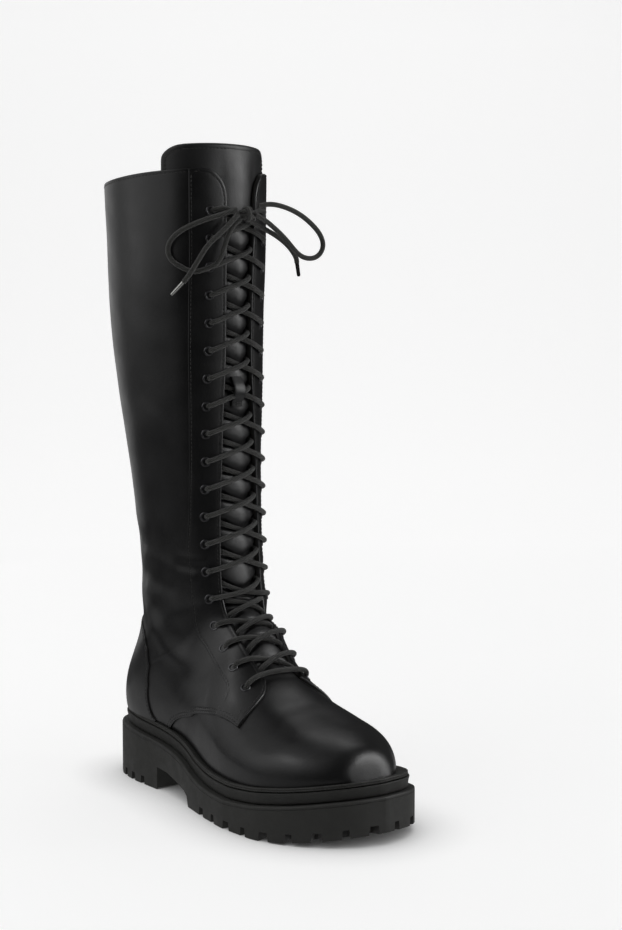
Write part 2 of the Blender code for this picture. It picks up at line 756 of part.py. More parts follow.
def make_tongue():
    """The padded tongue behind the throat, and its top, which stands above the collar."""
    rows = [row.station for row in TONGUE_ROWS]
    stations = np.unique(np.concatenate([rows, np.arange(5.5, 12.6, 0.5), SHAFT_STATIONS]))
    below = stations[stations < TONGUE_SPLIT - 0.1]
    above = stations[stations > TONGUE_SPLIT + 0.1]
    tongue_piece("tongue", np.append(below, TONGUE_SPLIT - SPLIT_GAP))
    tongue_piece("tongue_top", np.insert(above, 0, TONGUE_SPLIT))


# --- zip --------------------------------------------------------------------------------------
ZIP_TEETH_WIDTH = 4.4 * MM
ZIP_TAPE_WIDTH = 18.0 * MM
ZIP_STATIONS = np.concatenate([ZIP_CURVE, np.arange(11.0, 13.1, 0.5), SHAFT_STATIONS, [19.1]])
SLIDER_STATION = 18.86
SLIDER_SIZE = (8.5 * MM, 11.0 * MM, 1.6 * MM)       # across, along the zip, thick
SLIDER_LIFT = 0.5 * MM                              # underside above the leather
LUG_SIZE = (1.1 * MM, 4.2 * MM, 4.4 * MM)
LUG_SPREAD = 2.6 * MM                               # each lug's middle from the zip's line
TAB_AXIS_LIFT = 4.6 * MM                            # the tab's pin above the leather
PIN_RADIUS = 0.7 * MM
TAB_BORE = 1.0 * MM
TAB_EYE = 1.9 * MM
TAB_LENGTH = 15.0 * MM
TAB_WIDTH = 6.0 * MM
TAB_THICKNESS = 1.4 * MM


def zip_strip(name, width, low, high, finish):
    """A long strip along the zip's line."""
    angles = between(strip_edges(ZIP_STATIONS, zip_angles(ZIP_STATIONS), width), 4)
    return slab(name, grid(ZIP_STATIONS, angles, low), grid(ZIP_STATIONS, angles, high), finish)


def make_zip():
    """The tape behind the slot, and the closed teeth in it."""
    behind = -LEATHER_THICKNESS - 0.6 * MM
    zip_strip("zip_tape", ZIP_TAPE_WIDTH, behind - 0.8 * MM, behind, ZIP_FABRIC)
    zip_strip("zip_teeth", ZIP_TEETH_WIDTH, behind + CLEARANCE, -0.2 * MM, BLACK_METAL)


def slider_place():
    """Axes at the slider: X across the zip, Y up along it, Z out of the leather."""
    angle = float(zip_angles(np.array([SLIDER_STATION]))[0])
    out = Vector(last_normal(SLIDER_STATION, angle))
    up = Vector(last_point(SLIDER_STATION + 0.1, angle) - last_point(SLIDER_STATION - 0.1, angle)).normalized()
    across = up.cross(out).normalized()
    up = out.cross(across).normalized()
    place = Matrix((across, up, out)).transposed().to_4x4()
    place.translation = Vector(last_point(SLIDER_STATION, angle))
    return place


def local_box(name, size, centre, place, finish=None):
    """A box in the slider's axes."""
    work = bmesh.new()
    add_box(work, size, Matrix.Translation(centre))
    return place_object(name, mesh_of(name, work), finish, place)


def local_rod(name, radius, length, centre, place, finish=None, sides=16):
    """A round rod across the zip, in the slider's axes."""
    work = bmesh.new()
    across = Matrix.Translation(centre) @ Matrix.Rotation(math.radians(90), 4, "Y")
    bmesh.ops.create_cone(work, cap_ends=True, segments=sides, radius1=radius, radius2=radius,
                          depth=length, matrix=across)
    return place_object(name, mesh_of(name, work), finish, place)


def make_zip_slider():
    """The slider's plate, its two lugs and the pin that carries the tab."""
    place = slider_place()
    across, along, thick = SLIDER_SIZE
    slider = local_box("zip_slider", SLIDER_SIZE, (0, 0, SLIDER_LIFT + thick / 2), place, BLACK_METAL)
    for side in (-1, 1):
        centre = (side * LUG_SPREAD, 0, SLIDER_LIFT + thick / 2 + LUG_SIZE[2] / 2)
        cut(slider, local_box(f"slider_lug_{side}", LUG_SIZE, centre, place), "UNION")
    pin = local_rod("slider_pin", PIN_RADIUS, 2 * LUG_SPREAD, (0, 0, TAB_AXIS_LIFT), place, sides=12)
    cut(slider, pin, "UNION")
    return slider


def make_zip_pull_tab():
    """The tab that hangs from the slider's pin and swings out and up about it."""
    slider = slider_place()
    place = slider @ Matrix.Translation((0, 0, TAB_AXIS_LIFT))
    eye_width = 2 * LUG_SPREAD - LUG_SIZE[0] - 2 * CLEARANCE
    tab = local_rod("zip_pull_tab", TAB_EYE, eye_width, (0, 0, 0), place, BLACK_METAL)
    neck = (eye_width, 5.0 * MM, TAB_THICKNESS)
    cut(tab, local_box("tab_neck", neck, (0, -3.2 * MM, 0), place), "UNION")
    plate = (TAB_WIDTH, TAB_LENGTH - 4.5 * MM, TAB_THICKNESS)
    centre = (0, -4.5 * MM - plate[1] / 2, 0)
    cut(tab, local_box("tab_plate", plate, centre, place), "UNION")
    cut(tab, local_rod("tab_bore", TAB_BORE, 10 * MM, (0, 0, 0), place, sides=12))
    return tab


# --- eyelets and lace -------------------------------------------------------------------------
EYELET_RING = 2.5 * MM
EYELET_WIRE = 0.75 * MM
EYELET_LIFT = 1.1 * MM
StrandLift = namedtuple("StrandLift", "eyelet edge middle")      # a strand's centre above the form
STRAND_LIFT = StrandLift(4.5 * MM, 3.6 * MM, 1.0 * MM)
UPPER_STRAND_LIFT = StrandLift(5.1 * MM, 4.4 * MM, 2.2 * MM)
BAR_LIFT = StrandLift(4.8 * MM, 3.2 * MM, 1.0 * MM)
KNOT_STATION = 18.72
KNOT_LIFT = 7.5 * MM
KNOT_SIZE = (5.5 * MM, 4.6 * MM, 4.4 * MM)
KNOT_APPROACH = np.array([0.0, 2.0, -1.0]) * MM     # the top strands end behind and under the knot


def facing_angles(stations, side):
    """The eyelets' line on one facing (side -1 lateral, 1 medial), as angles."""
    throat = throat_angles(stations)
    edge = throat[:, 0] if side < 0 else throat[:, 1]
    places, lateral, medial = zip(*EYELET_INSETS)
    inset = np.interp(stations, places, lateral if side < 0 else medial)
    return beside(stations, edge, side * inset), edge


def eyelet_stations(side):
    """Stations that space one facing's eyelets evenly along its line."""
    stations = np.linspace(*EYELET_STATIONS, 120)
    angles, _ = facing_angles(stations, side)
    points = last_point(stations, angles)
    reach = np.concatenate([[0], np.cumsum(np.linalg.norm(np.diff(points, axis=0), axis=1))])
    return np.interp(np.linspace(0, reach[-1], EYELETS_A_SIDE), reach, stations)


def adopt(made, name, finish):
    """Name a new primitive, move it to the parts and give it its finish."""
    made.name = name
    made.data.name = name
    made.data.shade_smooth()
    for home in list(made.users_collection):
        home.objects.unlink(made)
    PARTS.objects.link(made)
    made.data.materials.append(finish)
    return made


def make_eyelets():
    """A metal ring for every hole of the two facings."""
    for side, name in ((-1, "lateral"), (1, "medial")):
        stations = eyelet_stations(side)
        angles, _ = facing_angles(stations, side)
        for number, (station, angle) in enumerate(zip(stations, angles), start=1):
            bpy.ops.mesh.primitive_torus_add(major_segments=8, minor_segments=3,
                                             major_radius=EYELET_RING, minor_radius=EYELET_WIRE)
            ring = adopt(bpy.context.object, f"eyelet_{name}_{number:02d}", BLACK_METAL)
            out = Vector(last_normal(station, angle))
            ring.rotation_euler = out.to_track_quat("Z", "Y").to_euler()
            ring.location = Vector(last_surface(station, angle, EYELET_LIFT))


def strand_points(start_side, start, end, stations, lift=STRAND_LIFT):
    """A strand from one facing's eyelet over both edges of the throat to an eyelet of the other."""
    ends = ((start_side, stations[start_side][start]), (-start_side, stations[-start_side][end]))
    angles = []
    for side, station in ends:
        at_eyelet, edge = facing_angles(np.array([station]), side)
        angles.append((float(at_eyelet[0]), float(edge[0])))
    share = np.array([0.0, 0.28, 0.5, 0.72, 1.0])
    along = ends[0][1] * (1 - share) + ends[1][1] * share
    (first, first_edge), (second, second_edge) = angles
    around = np.array([first, first_edge, (first_edge + second_edge) / 2, second_edge, second])
    lifts = np.array([lift.eyelet, lift.edge, lift.middle, lift.edge, lift.eyelet])
    return last_surface(along, around, lifts)


def tubes(name, routes, radius):
    """Several round cords as one closed mesh."""
    drawn = place_object(name, cord_curve(name, routes, radius, roundness=1), None)
    mesh = bpy.data.meshes.new_from_object(drawn.evaluated_get(bpy.context.evaluated_depsgraph_get()))
    bpy.data.objects.remove(drawn, do_unlink=True)
    work = bmesh.new()
    work.from_mesh(mesh)
    bmesh.ops.remove_doubles(work, verts=work.verts, dist=0.01 * MM)
    bmesh.ops.recalc_face_normals(work, faces=work.faces)
    return mesh_of(name, work)


def knot_place():
    """The knot's middle, over the middle of the throat."""
    throat = throat_angles(np.array([KNOT_STATION]))[0]
    angle = float(throat.mean())
    return last_surface(KNOT_STATION, angle, KNOT_LIFT)


def make_lace_crossings():
    """All strands between the facings, joined at their crossings and at the eyelets."""
    stations = {-1: eyelet_stations(-1), 1: eyelet_stations(1)}
    last = EYELETS_A_SIDE - 1
    rising_medial = [strand_points(-1, number, number + 1, stations) for number in range(last)]
    rising_lateral = [strand_points(1, number, number + 1, stations, UPPER_STRAND_LIFT)
                      for number in range(last)]
    knot = knot_place()
    for side, strands in ((-1, rising_medial), (1, rising_lateral)):
        start = strand_points(side, last, last, stations)[:2]
        toward = (knot - start[1]) / np.linalg.norm(knot - start[1])
        end = knot - toward * (KNOT_SIZE[0] + LACE_RADIUS + CLEARANCE) + KNOT_APPROACH
        strands.append(np.vstack([start, end]))
    bar = strand_points(-1, 0, 0, stations, BAR_LIFT)

    crossings = place_object("lace_crossings", tubes("rising_medial", rising_medial, LACE_RADIUS), LACE_CORD)
    for name, routes in (("rising_lateral", rising_lateral), ("bottom_bar", [bar])):
        cut(crossings, place_object(name, tubes(name, routes, LACE_RADIUS), None), "UNION")
    return crossings


# The bow's cords, each from the knot, in millimetres from the midline.
BOW_ROUTES = {
    "lace_loop_lateral": (
        (-3.0, 13.1, 423.0), (-12.8, 14.9, 419.5), (-24.7, 19.1, 415.5), (-34.1, 25.5, 411.0),
        (-40.8, 33.5, 405.0), (-43.5, 39.3, 397.0), (-42.4, 39.3, 389.0), (-37.6, 34.6, 383.0),
        (-30.5, 26.6, 379.0), (-23.8, 20.6, 381.0), (-17.7, 16.2, 385.0), (-13.1, 14.6, 395.0),
        (-9.0, 14.6, 405.0), (-5.6, 13.6, 411.0), (0.0, 12.8, 416.0),
    ),
    "lace_end_lateral": (
        (-3.6, 10.2, 419.5), (-10.1, 10.6, 413.0), (-18.5, 12.2, 405.0), (-26.2, 15.4, 397.0),
        (-32.5, 20.0, 385.0), (-37.0, 25.6, 374.5),
    ),
    "lace_loop_medial": (
        (16.6, 13.0, 426.0), (24.4, 11.0, 427.5), (36.8, 9.5, 426.0), (51.0, 9.0, 421.0),
        (63.1, 9.0, 413.5), (71.8, 10.0, 405.0), (73.6, 11.0, 397.5), (69.2, 12.0, 391.5),
        (60.7, 13.0, 390.0), (52.2, 13.5, 393.5), (42.6, 13.5, 402.0), (31.2, 13.0, 410.5),
        (21.0, 12.5, 416.5), (13.0, 12.5, 420.0),
    ),
    "lace_end_medial": (
        (11.0, 16.5, 416.0), (22.5, 18.0, 411.5), (34.1, 19.0, 407.0), (45.5, 19.8, 401.0),
        (52.5, 20.5, 395.5), (57.0, 21.5, 390.5),
    ),
}
AGLETS = {
    "aglet_lateral": ((-37.3, 26.2, 373.6), (-42.5, 37.0, 362.5)),
    "aglet_medial": ((57.5, 21.7, 389.9), (63.5, 26.5, 377.5)),
}
AGLET_RADIUS = 1.2 * MM
ROUTE_SPACING = 8.0 * MM


def make_bow():
    """The knot, two loops and two ends of the bow, with their tips."""
    bpy.ops.mesh.primitive_uv_sphere_add(segments=12, ring_count=8, radius=1.0)
    knot = adopt(bpy.context.object, "lace_knot", LACE_CORD)
    knot.data.transform(Matrix.Diagonal((*KNOT_SIZE, 1)))
    knot.location = Vector(knot_place())
    middle = np.array([MIDLINE_X, 0, 0])
    for name, route in BOW_ROUTES.items():
        points = smooth_route(np.array(route) * MM + middle, ROUTE_SPACING)
        place_object(name, cord_curve(name, [points], LACE_RADIUS), LACE_CORD)
    for name, ends in AGLETS.items():
        place_object(name, cord_curve(name, [np.array(ends) * MM + middle], AGLET_RADIUS), LACE_TIP)


# The lace keeper: height along the throat from a crossing's middle, and lift of its underside.
KeeperRow = namedtuple("KeeperRow", "rise lift")
KEEPER_ROWS = [KeeperRow(rise * MM, lift * MM) for rise, lift in (
    (-12.0, -2.3),
    (-7.2, -2.3),
    (-5.8, 1.5),
    (-4.6, 4.8),
    (-2.5, 6.4),
    (0.0, 6.8),
    (2.5, 6.4),
    (4.6, 4.8),
    (5.8, 1.5),
    (7.2, -2.3),
    (11.0, -2.3),
)]
KEEPER_CROSSING = 12            # the crossing that it holds, counted from the bottom
KEEPER_WIDTH = 8.0 * MM
KEEPER_THICKNESS = 1.0 * MM


def make_lace_keeper():
    """A leather loop on the tongue, arched over one crossing."""
    lateral = eyelet_stations(-1)
    middle_station = float(lateral[KEEPER_CROSSING - 1:KEEPER_CROSSING + 1].mean())
    run = np.linalg.norm(last_point(middle_station + 0.5, 0.0) - last_point(middle_station - 0.5, 0.0))
    stations = middle_station + np.array([row.rise for row in KEEPER_ROWS]) / run
    middle = throat_angles(stations).mean(axis=1)
    lift = np.array([row.lift for row in KEEPER_ROWS])[:, None]
    angles = between(strip_edges(stations, middle, KEEPER_WIDTH), 3)
    return slab("lace_keeper", grid(stations, angles, lift), grid(stations, angles, lift + KEEPER_THICKNESS),
                TONGUE_LEATHER)


def build():
    make_outsole()
    make_midsole()
    make_welt()
    make_insole()
    make_upper()
    make_heel_counter()
    make_tongue()
    make_zip()
    make_zip_slider()
    make_zip_pull_tab()
    make_eyelets()
    make_lace_crossings()
    make_bow()
    make_lace_keeper()


build()
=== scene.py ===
"""Right knee-high lace-up boot of black leather, with an inside zip and a lugged rubber sole.

Every soft piece lies on one closed form of the foot and leg, form(station, angle, lift).  A station
runs from the toe (0) to above the collar (20); each whole station is one plane section.  The angle
runs round the section in degrees from the front or top (0) to the medial side (+) and the lateral
side (-).  Sizes are in millimetres in the tables and in metres in the meshes.  The toe points along
-Y, the medial side is +X and the floor is z = 0.
"""

from collections import namedtuple
import math

import bmesh
import bpy
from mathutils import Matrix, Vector
import numpy as np


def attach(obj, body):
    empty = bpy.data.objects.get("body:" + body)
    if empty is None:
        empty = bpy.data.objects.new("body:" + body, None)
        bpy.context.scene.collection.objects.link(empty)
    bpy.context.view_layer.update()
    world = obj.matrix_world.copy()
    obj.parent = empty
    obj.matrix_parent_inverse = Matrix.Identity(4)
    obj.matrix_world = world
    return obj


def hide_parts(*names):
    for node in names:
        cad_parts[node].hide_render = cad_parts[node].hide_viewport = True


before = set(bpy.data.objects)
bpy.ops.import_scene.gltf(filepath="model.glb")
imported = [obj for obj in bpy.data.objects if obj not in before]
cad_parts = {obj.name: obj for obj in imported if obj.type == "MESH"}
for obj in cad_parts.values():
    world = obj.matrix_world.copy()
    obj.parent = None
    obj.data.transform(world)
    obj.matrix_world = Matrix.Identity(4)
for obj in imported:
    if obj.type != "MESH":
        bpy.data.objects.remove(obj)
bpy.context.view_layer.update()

MM = 0.001
SOLE_LENGTH = 295.0
MIDLINE_X = -0.65
MIDSOLE_THICKNESS = 8.1
WELT_THICKNESS = 2.8
UPPER_INSET = 7.3
# How much further the upper stands in from the sole's edge at the toe, by share of its length.
TOE_ROOM = ((0.830, 0.856, 0.912, 0.944), (0.0, 1.5, 6.5, 9.0))
FOOT_ABOVE_WELT = 0.9
LEATHER = 2.0
LACE_RADIUS = 1.85
EYELETS_A_SIDE = 19
SIDES = ((-1, "lateral"), (1, "medial"))

# --- the sizes of the last, the same as the solid parts ------------------------------------------
# Outsole seen from above: share of the length from the heel, width to each side of the midline.
SOLE_WIDTHS = np.array([
    (0.000, 0.0, 0.0), (0.012, 13.0, 13.5), (0.045, 24.5, 25.0), (0.100, 33.0, 32.5),
    (0.180, 37.5, 36.0), (0.280, 39.0, 36.0), (0.380, 43.0, 36.5), (0.480, 50.0, 39.5),
    (0.580, 57.0, 46.0), (0.680, 61.5, 53.0), (0.760, 61.5, 56.5), (0.840, 55.5, 55.0),
    (0.900, 45.5, 48.5), (0.950, 32.5, 38.0), (0.985, 16.0, 22.5), (1.000, 0.0, 2.0),
])
# Outsole seen from the side: the height of its upper edge, and of its underside.
SOLE_TOP = np.array([
    (0.00, 40.0), (0.10, 39.5), (0.20, 37.5), (0.30, 35.0), (0.36, 32.7), (0.415, 29.3),
    (0.475, 24.2), (0.54, 21.0), (0.60, 20.0), (0.66, 20.0), (0.72, 21.0), (0.80, 23.7),
    (0.87, 26.5), (0.93, 29.5), (1.00, 33.0),
])
HEEL_BREAST = 0.278
SOLE_UNDERSIDE = np.array([
    (0.000, 0.0), (HEEL_BREAST, 0.0), (HEEL_BREAST + 0.001, 16.5), (0.330, 15.8), (0.385, 12.5),
    (0.435, 9.5), (0.452, 7.0), (0.462, 0.0), (0.780, 0.0), (0.850, 1.2), (0.920, 3.8),
    (1.000, 8.5),
])
# Foot rows: top y, top z, base y, base z, middle, swell, ridge, waist, top and base squareness.
FOOT_ROWS = (
    (-135.0, 41.5, -135.5, 33.0, -3.0, -10.5, 0.0, 0.50, 2.0, 2.6),
    (-129.5, 57.0, -131.0, 30.0, -3.0, -6.5, 0.0, 0.46, 1.95, 3.0),
    (-118.0, 64.5, -121.5, 26.0, -2.5, -3.5, 0.0, 0.42, 2.0, 3.4),
    (-100.5, 69.5, -105.0, 23.0, -1.0, -0.5, 2.5, 0.40, 2.2, 4.0),
    (-80.0, 74.0, -82.0, 20.0, 0.0, 0.0, 7.0, 0.38, 2.3, 4.5),
    (-55.0, 81.0, -55.0, 18.0, 0.0, 0.0, 11.0, 0.38, 2.2, 4.5),
    (-30.0, 94.0, -25.0, 18.0, 0.0, 0.5, 11.5, 0.38, 2.1, 4.5),
    (-14.0, 110.0, 10.0, 22.0, 0.0, 2.0, 11.0, 0.40, 2.2, 3.8),
    (-5.0, 121.0, 50.0, 28.0, -0.5, 3.0, 11.0, 0.42, 2.4, 3.0),
    (2.5, 127.0, 95.0, 30.0, -0.5, 4.5, 9.5, 0.45, 2.5, 2.6),
)
# Shaft rows: front y and z, back y and z, middle, half width, ridge and squareness.
SHAFT_ROWS = (
    (9.0, 132.0, 134.5, 39.0, -0.5, 36.0, 7.0, 2.3),
    (14.5, 137.5, 134.0, 73.0, 2.0, 38.5, 4.5, 2.3),
    (18.5, 144.0, 116.5, 108.0, 4.5, 40.5, 2.0, 2.25),
    (20.5, 151.5, 117.0, 151.5, 5.3, 39.8, 0.0, 2.2),
    (25.0, 191.5, 121.0, 191.5, 5.2, 41.3, 0.0, 2.2),
    (27.0, 241.5, 128.0, 241.5, 4.3, 44.4, 0.0, 2.2),
    (27.0, 291.5, 136.5, 291.5, 3.7, 48.7, 0.0, 2.2),
    (26.0, 341.5, 142.0, 341.5, 2.5, 52.1, 0.0, 2.2),
    (23.0, 391.5, 143.0, 391.5, 1.5, 54.0, 0.0, 2.2),
    (22.0, 441.5, 144.5, 441.5, 1.1, 55.3, 0.0, 2.2),
    (21.5, 491.5, 145.5, 491.5, 1.0, 56.0, 0.0, 2.2),
)
ROW_HEIGHT = 50.0                       # between two rows of the leg
EVEN_STATION = 18                       # the last row that the collar's slope leaves level
EVEN_HEIGHT = SHAFT_ROWS[EVEN_STATION - len(FOOT_ROWS)][1]
COLLAR_FRONT = (22.0, 452.0)            # y and z of the collar's edge
COLLAR_BACK = (144.5, 443.0)
# The throat's edges: station, lateral x, medial x from the midline.
THROAT = np.array([
    (5.90, -12.0, 18.0), (6.02, -9.9, 21.0), (6.60, -10.2, 21.5), (7.23, -11.2, 20.5),
    (8.94, -10.0, 21.5), (11.64, -9.6, 24.5), (13.10, -9.6, 26.0), (14.00, -8.2, 27.3),
    (15.00, -6.0, 26.0), (15.60, -5.0, 23.5), (16.70, -3.0, 19.5), (17.90, -4.5, 19.0),
    (18.70, -5.0, 21.0), (19.60, -5.0, 22.5),
])
EYELET_STATIONS = (6.20, 18.61)
# The eyelets' distance from the throat's edges: station, lateral, medial.
EYELET_INSETS = np.array([
    (6.2, 15.5, 9.5), (7.0, 14.2, 9.8), (8.4, 12.2, 10.0), (10.3, 10.4, 10.0), (12.5, 9.9, 10.2),
    (13.4, 11.0, 11.0), (15.0, 12.8, 12.8), (16.4, 14.8, 14.8), (18.6, 13.8, 13.8),
])
ZIP_LINE = np.array([
    (8.47, 93.0), (9.04, 86.0), (10.20, 78.0), (12.20, 78.0), (14.20, 80.0), (16.00, 84.5),
    (17.40, 88.5), (18.70, 91.0), (19.60, 91.0),
])
# The tongue: station, reach to the lateral and to the medial side of the throat's middle.
TONGUE_ROWS = np.array([
    (5.35, 22.0, 22.0), (6.50, 28.0, 28.0), (9.00, 32.0, 32.0), (13.00, 40.0, 40.0),
    (16.00, 50.0, 44.0), (19.00, 68.0, 49.0),
])


# --- curves through tables ----------------------------------------------------------------------
class Spline:
    """Natural cubic spline through rows.

    Between two rows the value is their mix by the shares of the step before and after it, plus a
    sixth of the step squared times the rows' bends, each weighed by its share cubed less its share.
    The bends make the slope run on smoothly through every row, and are zero at both ends.
    """

    def __init__(self, xs, ys):
        self.xs = np.asarray(xs, float)
        self.ys = np.asarray(ys, float)
        steps = np.diff(self.xs)
        count = len(self.xs)
        slopes = np.diff(self.ys, axis=0) / steps.reshape((-1,) + (1,) * (self.ys.ndim - 1))
        system = np.eye(count)
        target = np.zeros_like(self.ys)
        for row in range(1, count - 1):
            system[row, row - 1:row + 2] = (steps[row - 1], 2 * (steps[row - 1] + steps[row]), steps[row])
            target[row] = 6 * (slopes[row] - slopes[row - 1])
        self.bend = np.linalg.solve(system, target)

    def __call__(self, at):
        at = np.clip(at, self.xs[0], self.xs[-1])
        low = np.clip(np.searchsorted(self.xs, at) - 1, 0, len(self.xs) - 2)
        shape = np.shape(at) + (1,) * (self.ys.ndim - 1)
        step = (self.xs[low + 1] - self.xs[low]).reshape(shape)
        after = np.reshape(at - self.xs[low], shape) / step
        before = 1 - after
        curve = (before ** 3 - before) * self.bend[low] + (after ** 3 - after) * self.bend[low + 1]
        return before * self.ys[low] + after * self.ys[low + 1] + curve * step ** 2 / 6


def unbent(xs, ys, at):
    """Monotone cubic Hermite through a table: it never passes beyond its rows.

    The slope at a row is the weighted harmonic mean of the slopes on its two sides, or zero where
    they differ in sign.
    """
    xs = np.asarray(xs, float)
    ys = np.asarray(ys, float)
    steps = np.diff(xs)
    slopes = np.diff(ys) / steps
    tangents = np.zeros(len(xs))
    near = 2 * steps[1:] + steps[:-1]
    far = steps[1:] + 2 * steps[:-1]
    rising = slopes[:-1] * slopes[1:] > 0
    safe = np.where(rising, slopes[:-1], 1), np.where(rising, slopes[1:], 1)
    tangents[1:-1] = np.where(rising, (near + far) / (near / safe[0] + far / safe[1]), 0)
    tangents[0] = slopes[0]
    tangents[-1] = slopes[-1]
    at = np.clip(at, xs[0], xs[-1])
    low = np.clip(np.searchsorted(xs, at) - 1, 0, len(xs) - 2)
    part = (at - xs[low]) / steps[low]
    rest = 1 - part
    start = ys[low] * (1 + 2 * part) * rest ** 2 + tangents[low] * steps[low] * part * rest ** 2
    end = ys[low + 1] * part ** 2 * (3 - 2 * part) - tangents[low + 1] * steps[low] * part ** 2 * rest
    return start + end


def walked(points):
    """The distance along a line at each of its points."""
    return np.concatenate([[0], np.cumsum(np.linalg.norm(np.diff(points, axis=0), axis=1))])


def read_at(at, reach, points):
    """A line's points at some distances along it, with straight runs between its own points."""
    return np.stack([np.interp(at, reach, column) for column in points.T], 1)


def unit(vectors):
    """Vectors made one long."""
    return vectors / np.linalg.norm(vectors, axis=-1, keepdims=True)


def share_of(y):
    """The share of the sole's length from the heel at a place along the foot."""
    return np.clip((SOLE_LENGTH / 2 - np.asarray(y)) / SOLE_LENGTH, 0, 1)


def sole_top(y):
    """The height of the outsole's upper edge."""
    return unbent(SOLE_TOP[:, 0], SOLE_TOP[:, 1], share_of(y))


def sole_underside(y):
    """The height of the outsole's tread."""
    return np.interp(share_of(y), SOLE_UNDERSIDE[:, 0], SOLE_UNDERSIDE[:, 1])


def upper_foot_z(y):
    """The height at which the upper meets the welt."""
    return sole_top(y) + MIDSOLE_THICKNESS + WELT_THICKNESS + FOOT_ABOVE_WELT


def last_rows():
    """All section rows as one array, foot first."""
    rows = []
    for top_y, top_z, base_y, base_z, middle, swell, ridge, waist, top_square, base_square in FOOT_ROWS:
        share = share_of(base_y)
        lateral = unbent(SOLE_WIDTHS[:, 0], SOLE_WIDTHS[:, 1], share)
        medial = unbent(SOLE_WIDTHS[:, 0], SOLE_WIDTHS[:, 2], share)
        half_width = (lateral + medial) / 2 - UPPER_INSET + swell
        rows.append((top_y, top_z, base_y, base_z, MIDLINE_X + (medial - lateral) / 2 + middle,
                     half_width, ridge, waist, top_square, base_square))
    for front_y, front_z, back_y, back_z, middle, half_width, ridge, square in SHAFT_ROWS:
        rows.append((front_y, front_z, back_y, back_z, MIDLINE_X + middle, half_width, ridge, 0.5,
                     square, square))
    return np.array(rows, float)


LAST = Spline(np.arange(len(FOOT_ROWS) + len(SHAFT_ROWS)), last_rows())
LAST_STATION = len(LAST.xs) - 1


def last_point(station, angle):
    """Points of the form: a squared ellipse in each section.

    Sideways it is the half width times the sine of the angle raised to two over the squareness, and
    upward the same with the cosine, above the waist as far as the top and below it to the base.  The
    ridge carries the upper part toward the medial side.
    """
    station, angle = np.broadcast_arrays(np.asarray(station, float), np.asarray(angle, float))
    columns = np.moveaxis(LAST(station), -1, 0)
    top_y, top_z, base_y, base_z, middle, half_width, ridge, waist, top_square, base_square = columns
    turn = np.radians(angle)
    upward = np.cos(turn)
    sideways = np.sin(turn)
    power = 2 / np.where(upward > 0, top_square, base_square)
    rise = np.sign(upward) * np.abs(upward) ** power
    spread = np.sign(sideways) * np.abs(sideways) ** power
    share = waist + np.where(rise > 0, 1 - waist, waist) * rise
    x = middle + half_width * spread + ridge * np.clip(rise, 0, 1) ** 1.5
    return np.stack([x, base_y + (top_y - base_y) * share, base_z + (top_z - base_z) * share], -1)


def last_normal(station, angle):
    """Outward unit normals: the cross product of steps round and along the form."""
    station, angle = np.broadcast_arrays(np.asarray(station, float), np.asarray(angle, float))
    before = np.clip(station - 0.02, 0, LAST_STATION)
    after = np.clip(station + 0.02, 0, LAST_STATION)
    along = last_point(after, angle) - last_point(before, angle)
    around = last_point(station, angle + 1.0) - last_point(station, angle - 1.0)
    return unit(np.cross(around, along))


def angle_at_x(stations, x):
    """The angle on the front of each section where the form passes a given x."""
    angles = np.linspace(-85, 85, 341)
    across = last_point(np.asarray(stations)[:, None], angles[None])[..., 0]
    return np.array([np.interp(wanted, row, angles) for wanted, row in zip(x, across)])


def arc_per_degree(station, angle):
    """How far, in mm, the form's surface runs for one degree of angle."""
    step = last_point(station, np.asarray(angle) + 0.5) - last_point(station, np.asarray(angle) - 0.5)
    return np.linalg.norm(step, axis=-1)


def beside(station, angle, distance):
    """The angle that lies a distance along the surface from a place on the form."""
    return angle + distance / arc_per_degree(station, angle)


FINE_STEP = 1.5                 # mm between the points of a curve over the form


def finer(table):
    """A seam's rows joined by a smooth curve, with a row every FINE_STEP."""
    table = np.array(table)
    ends = last_point(table[:, 0], table[:, 1])
    reach = walked(ends)
    found = Spline(reach, table)(np.linspace(0, reach[-1], int(reach[-1] / FINE_STEP)))
    found[:, 0] = np.maximum.accumulate(found[:, 0] + np.arange(len(found)) * 1e-5)
    return found


# --- where the seams run ------------------------------------------------------------------------
# Each line holds (station, angle) from bottom to top; station always rises.
VAMP_SEAM = finer([
    (5.48, -60.5), (5.94, -62.5), (6.48, -69.7), (7.12, -81.5), (7.68, -90.0), (8.14, -97.5),
    (8.38, -108.0), (8.46, -121.5), (8.50, -128.0),
])
VAMP_SEAM_MEDIAL = np.array([
    (5.42, 54.0), (5.55, 61.5), (5.90, 66.0), (6.44, 74.0), (7.17, 86.0), (7.83, 92.0),
    (8.22, 98.0), (8.41, 110.0), (8.47, 121.5), (8.50, 128.0),
])
FACING_REAR_LATERAL = np.array([
    (5.48, -60.5), (5.72, -61.5), (5.94, -62.8), (6.20, -65.8), (6.42, -69.0), (6.52, -70.4),
    (6.54, -68.5), (6.56, -62.0), (6.60, -55.5), (6.66, -52.4), (6.80, -50.8), (7.02, -51.6),
    (7.40, -54.0), (7.80, -55.8), (8.22, -56.4), (8.72, -55.0), (9.30, -52.2), (10.18, -50.0),
    (11.60, -51.0), (12.94, -53.0), (13.80, -52.0), (14.27, -47.0), (15.00, -42.2), (15.64, -39.5),
    (16.30, -37.3), (16.94, -35.6), (17.73, -34.4), (19.30, -33.6),
])
FACING_REAR_MEDIAL = np.array([
    (5.42, 54.0), (5.55, 61.5), (5.90, 66.0), (6.15, 67.5), (6.72, 66.5), (7.55, 65.0),
    (8.63, 59.0), (10.18, 53.5), (11.70, 52.0), (13.26, 53.5), (14.20, 51.5), (15.20, 49.0), (16.40, 45.0),
    (17.60, 43.0), (19.30, 42.5),
])
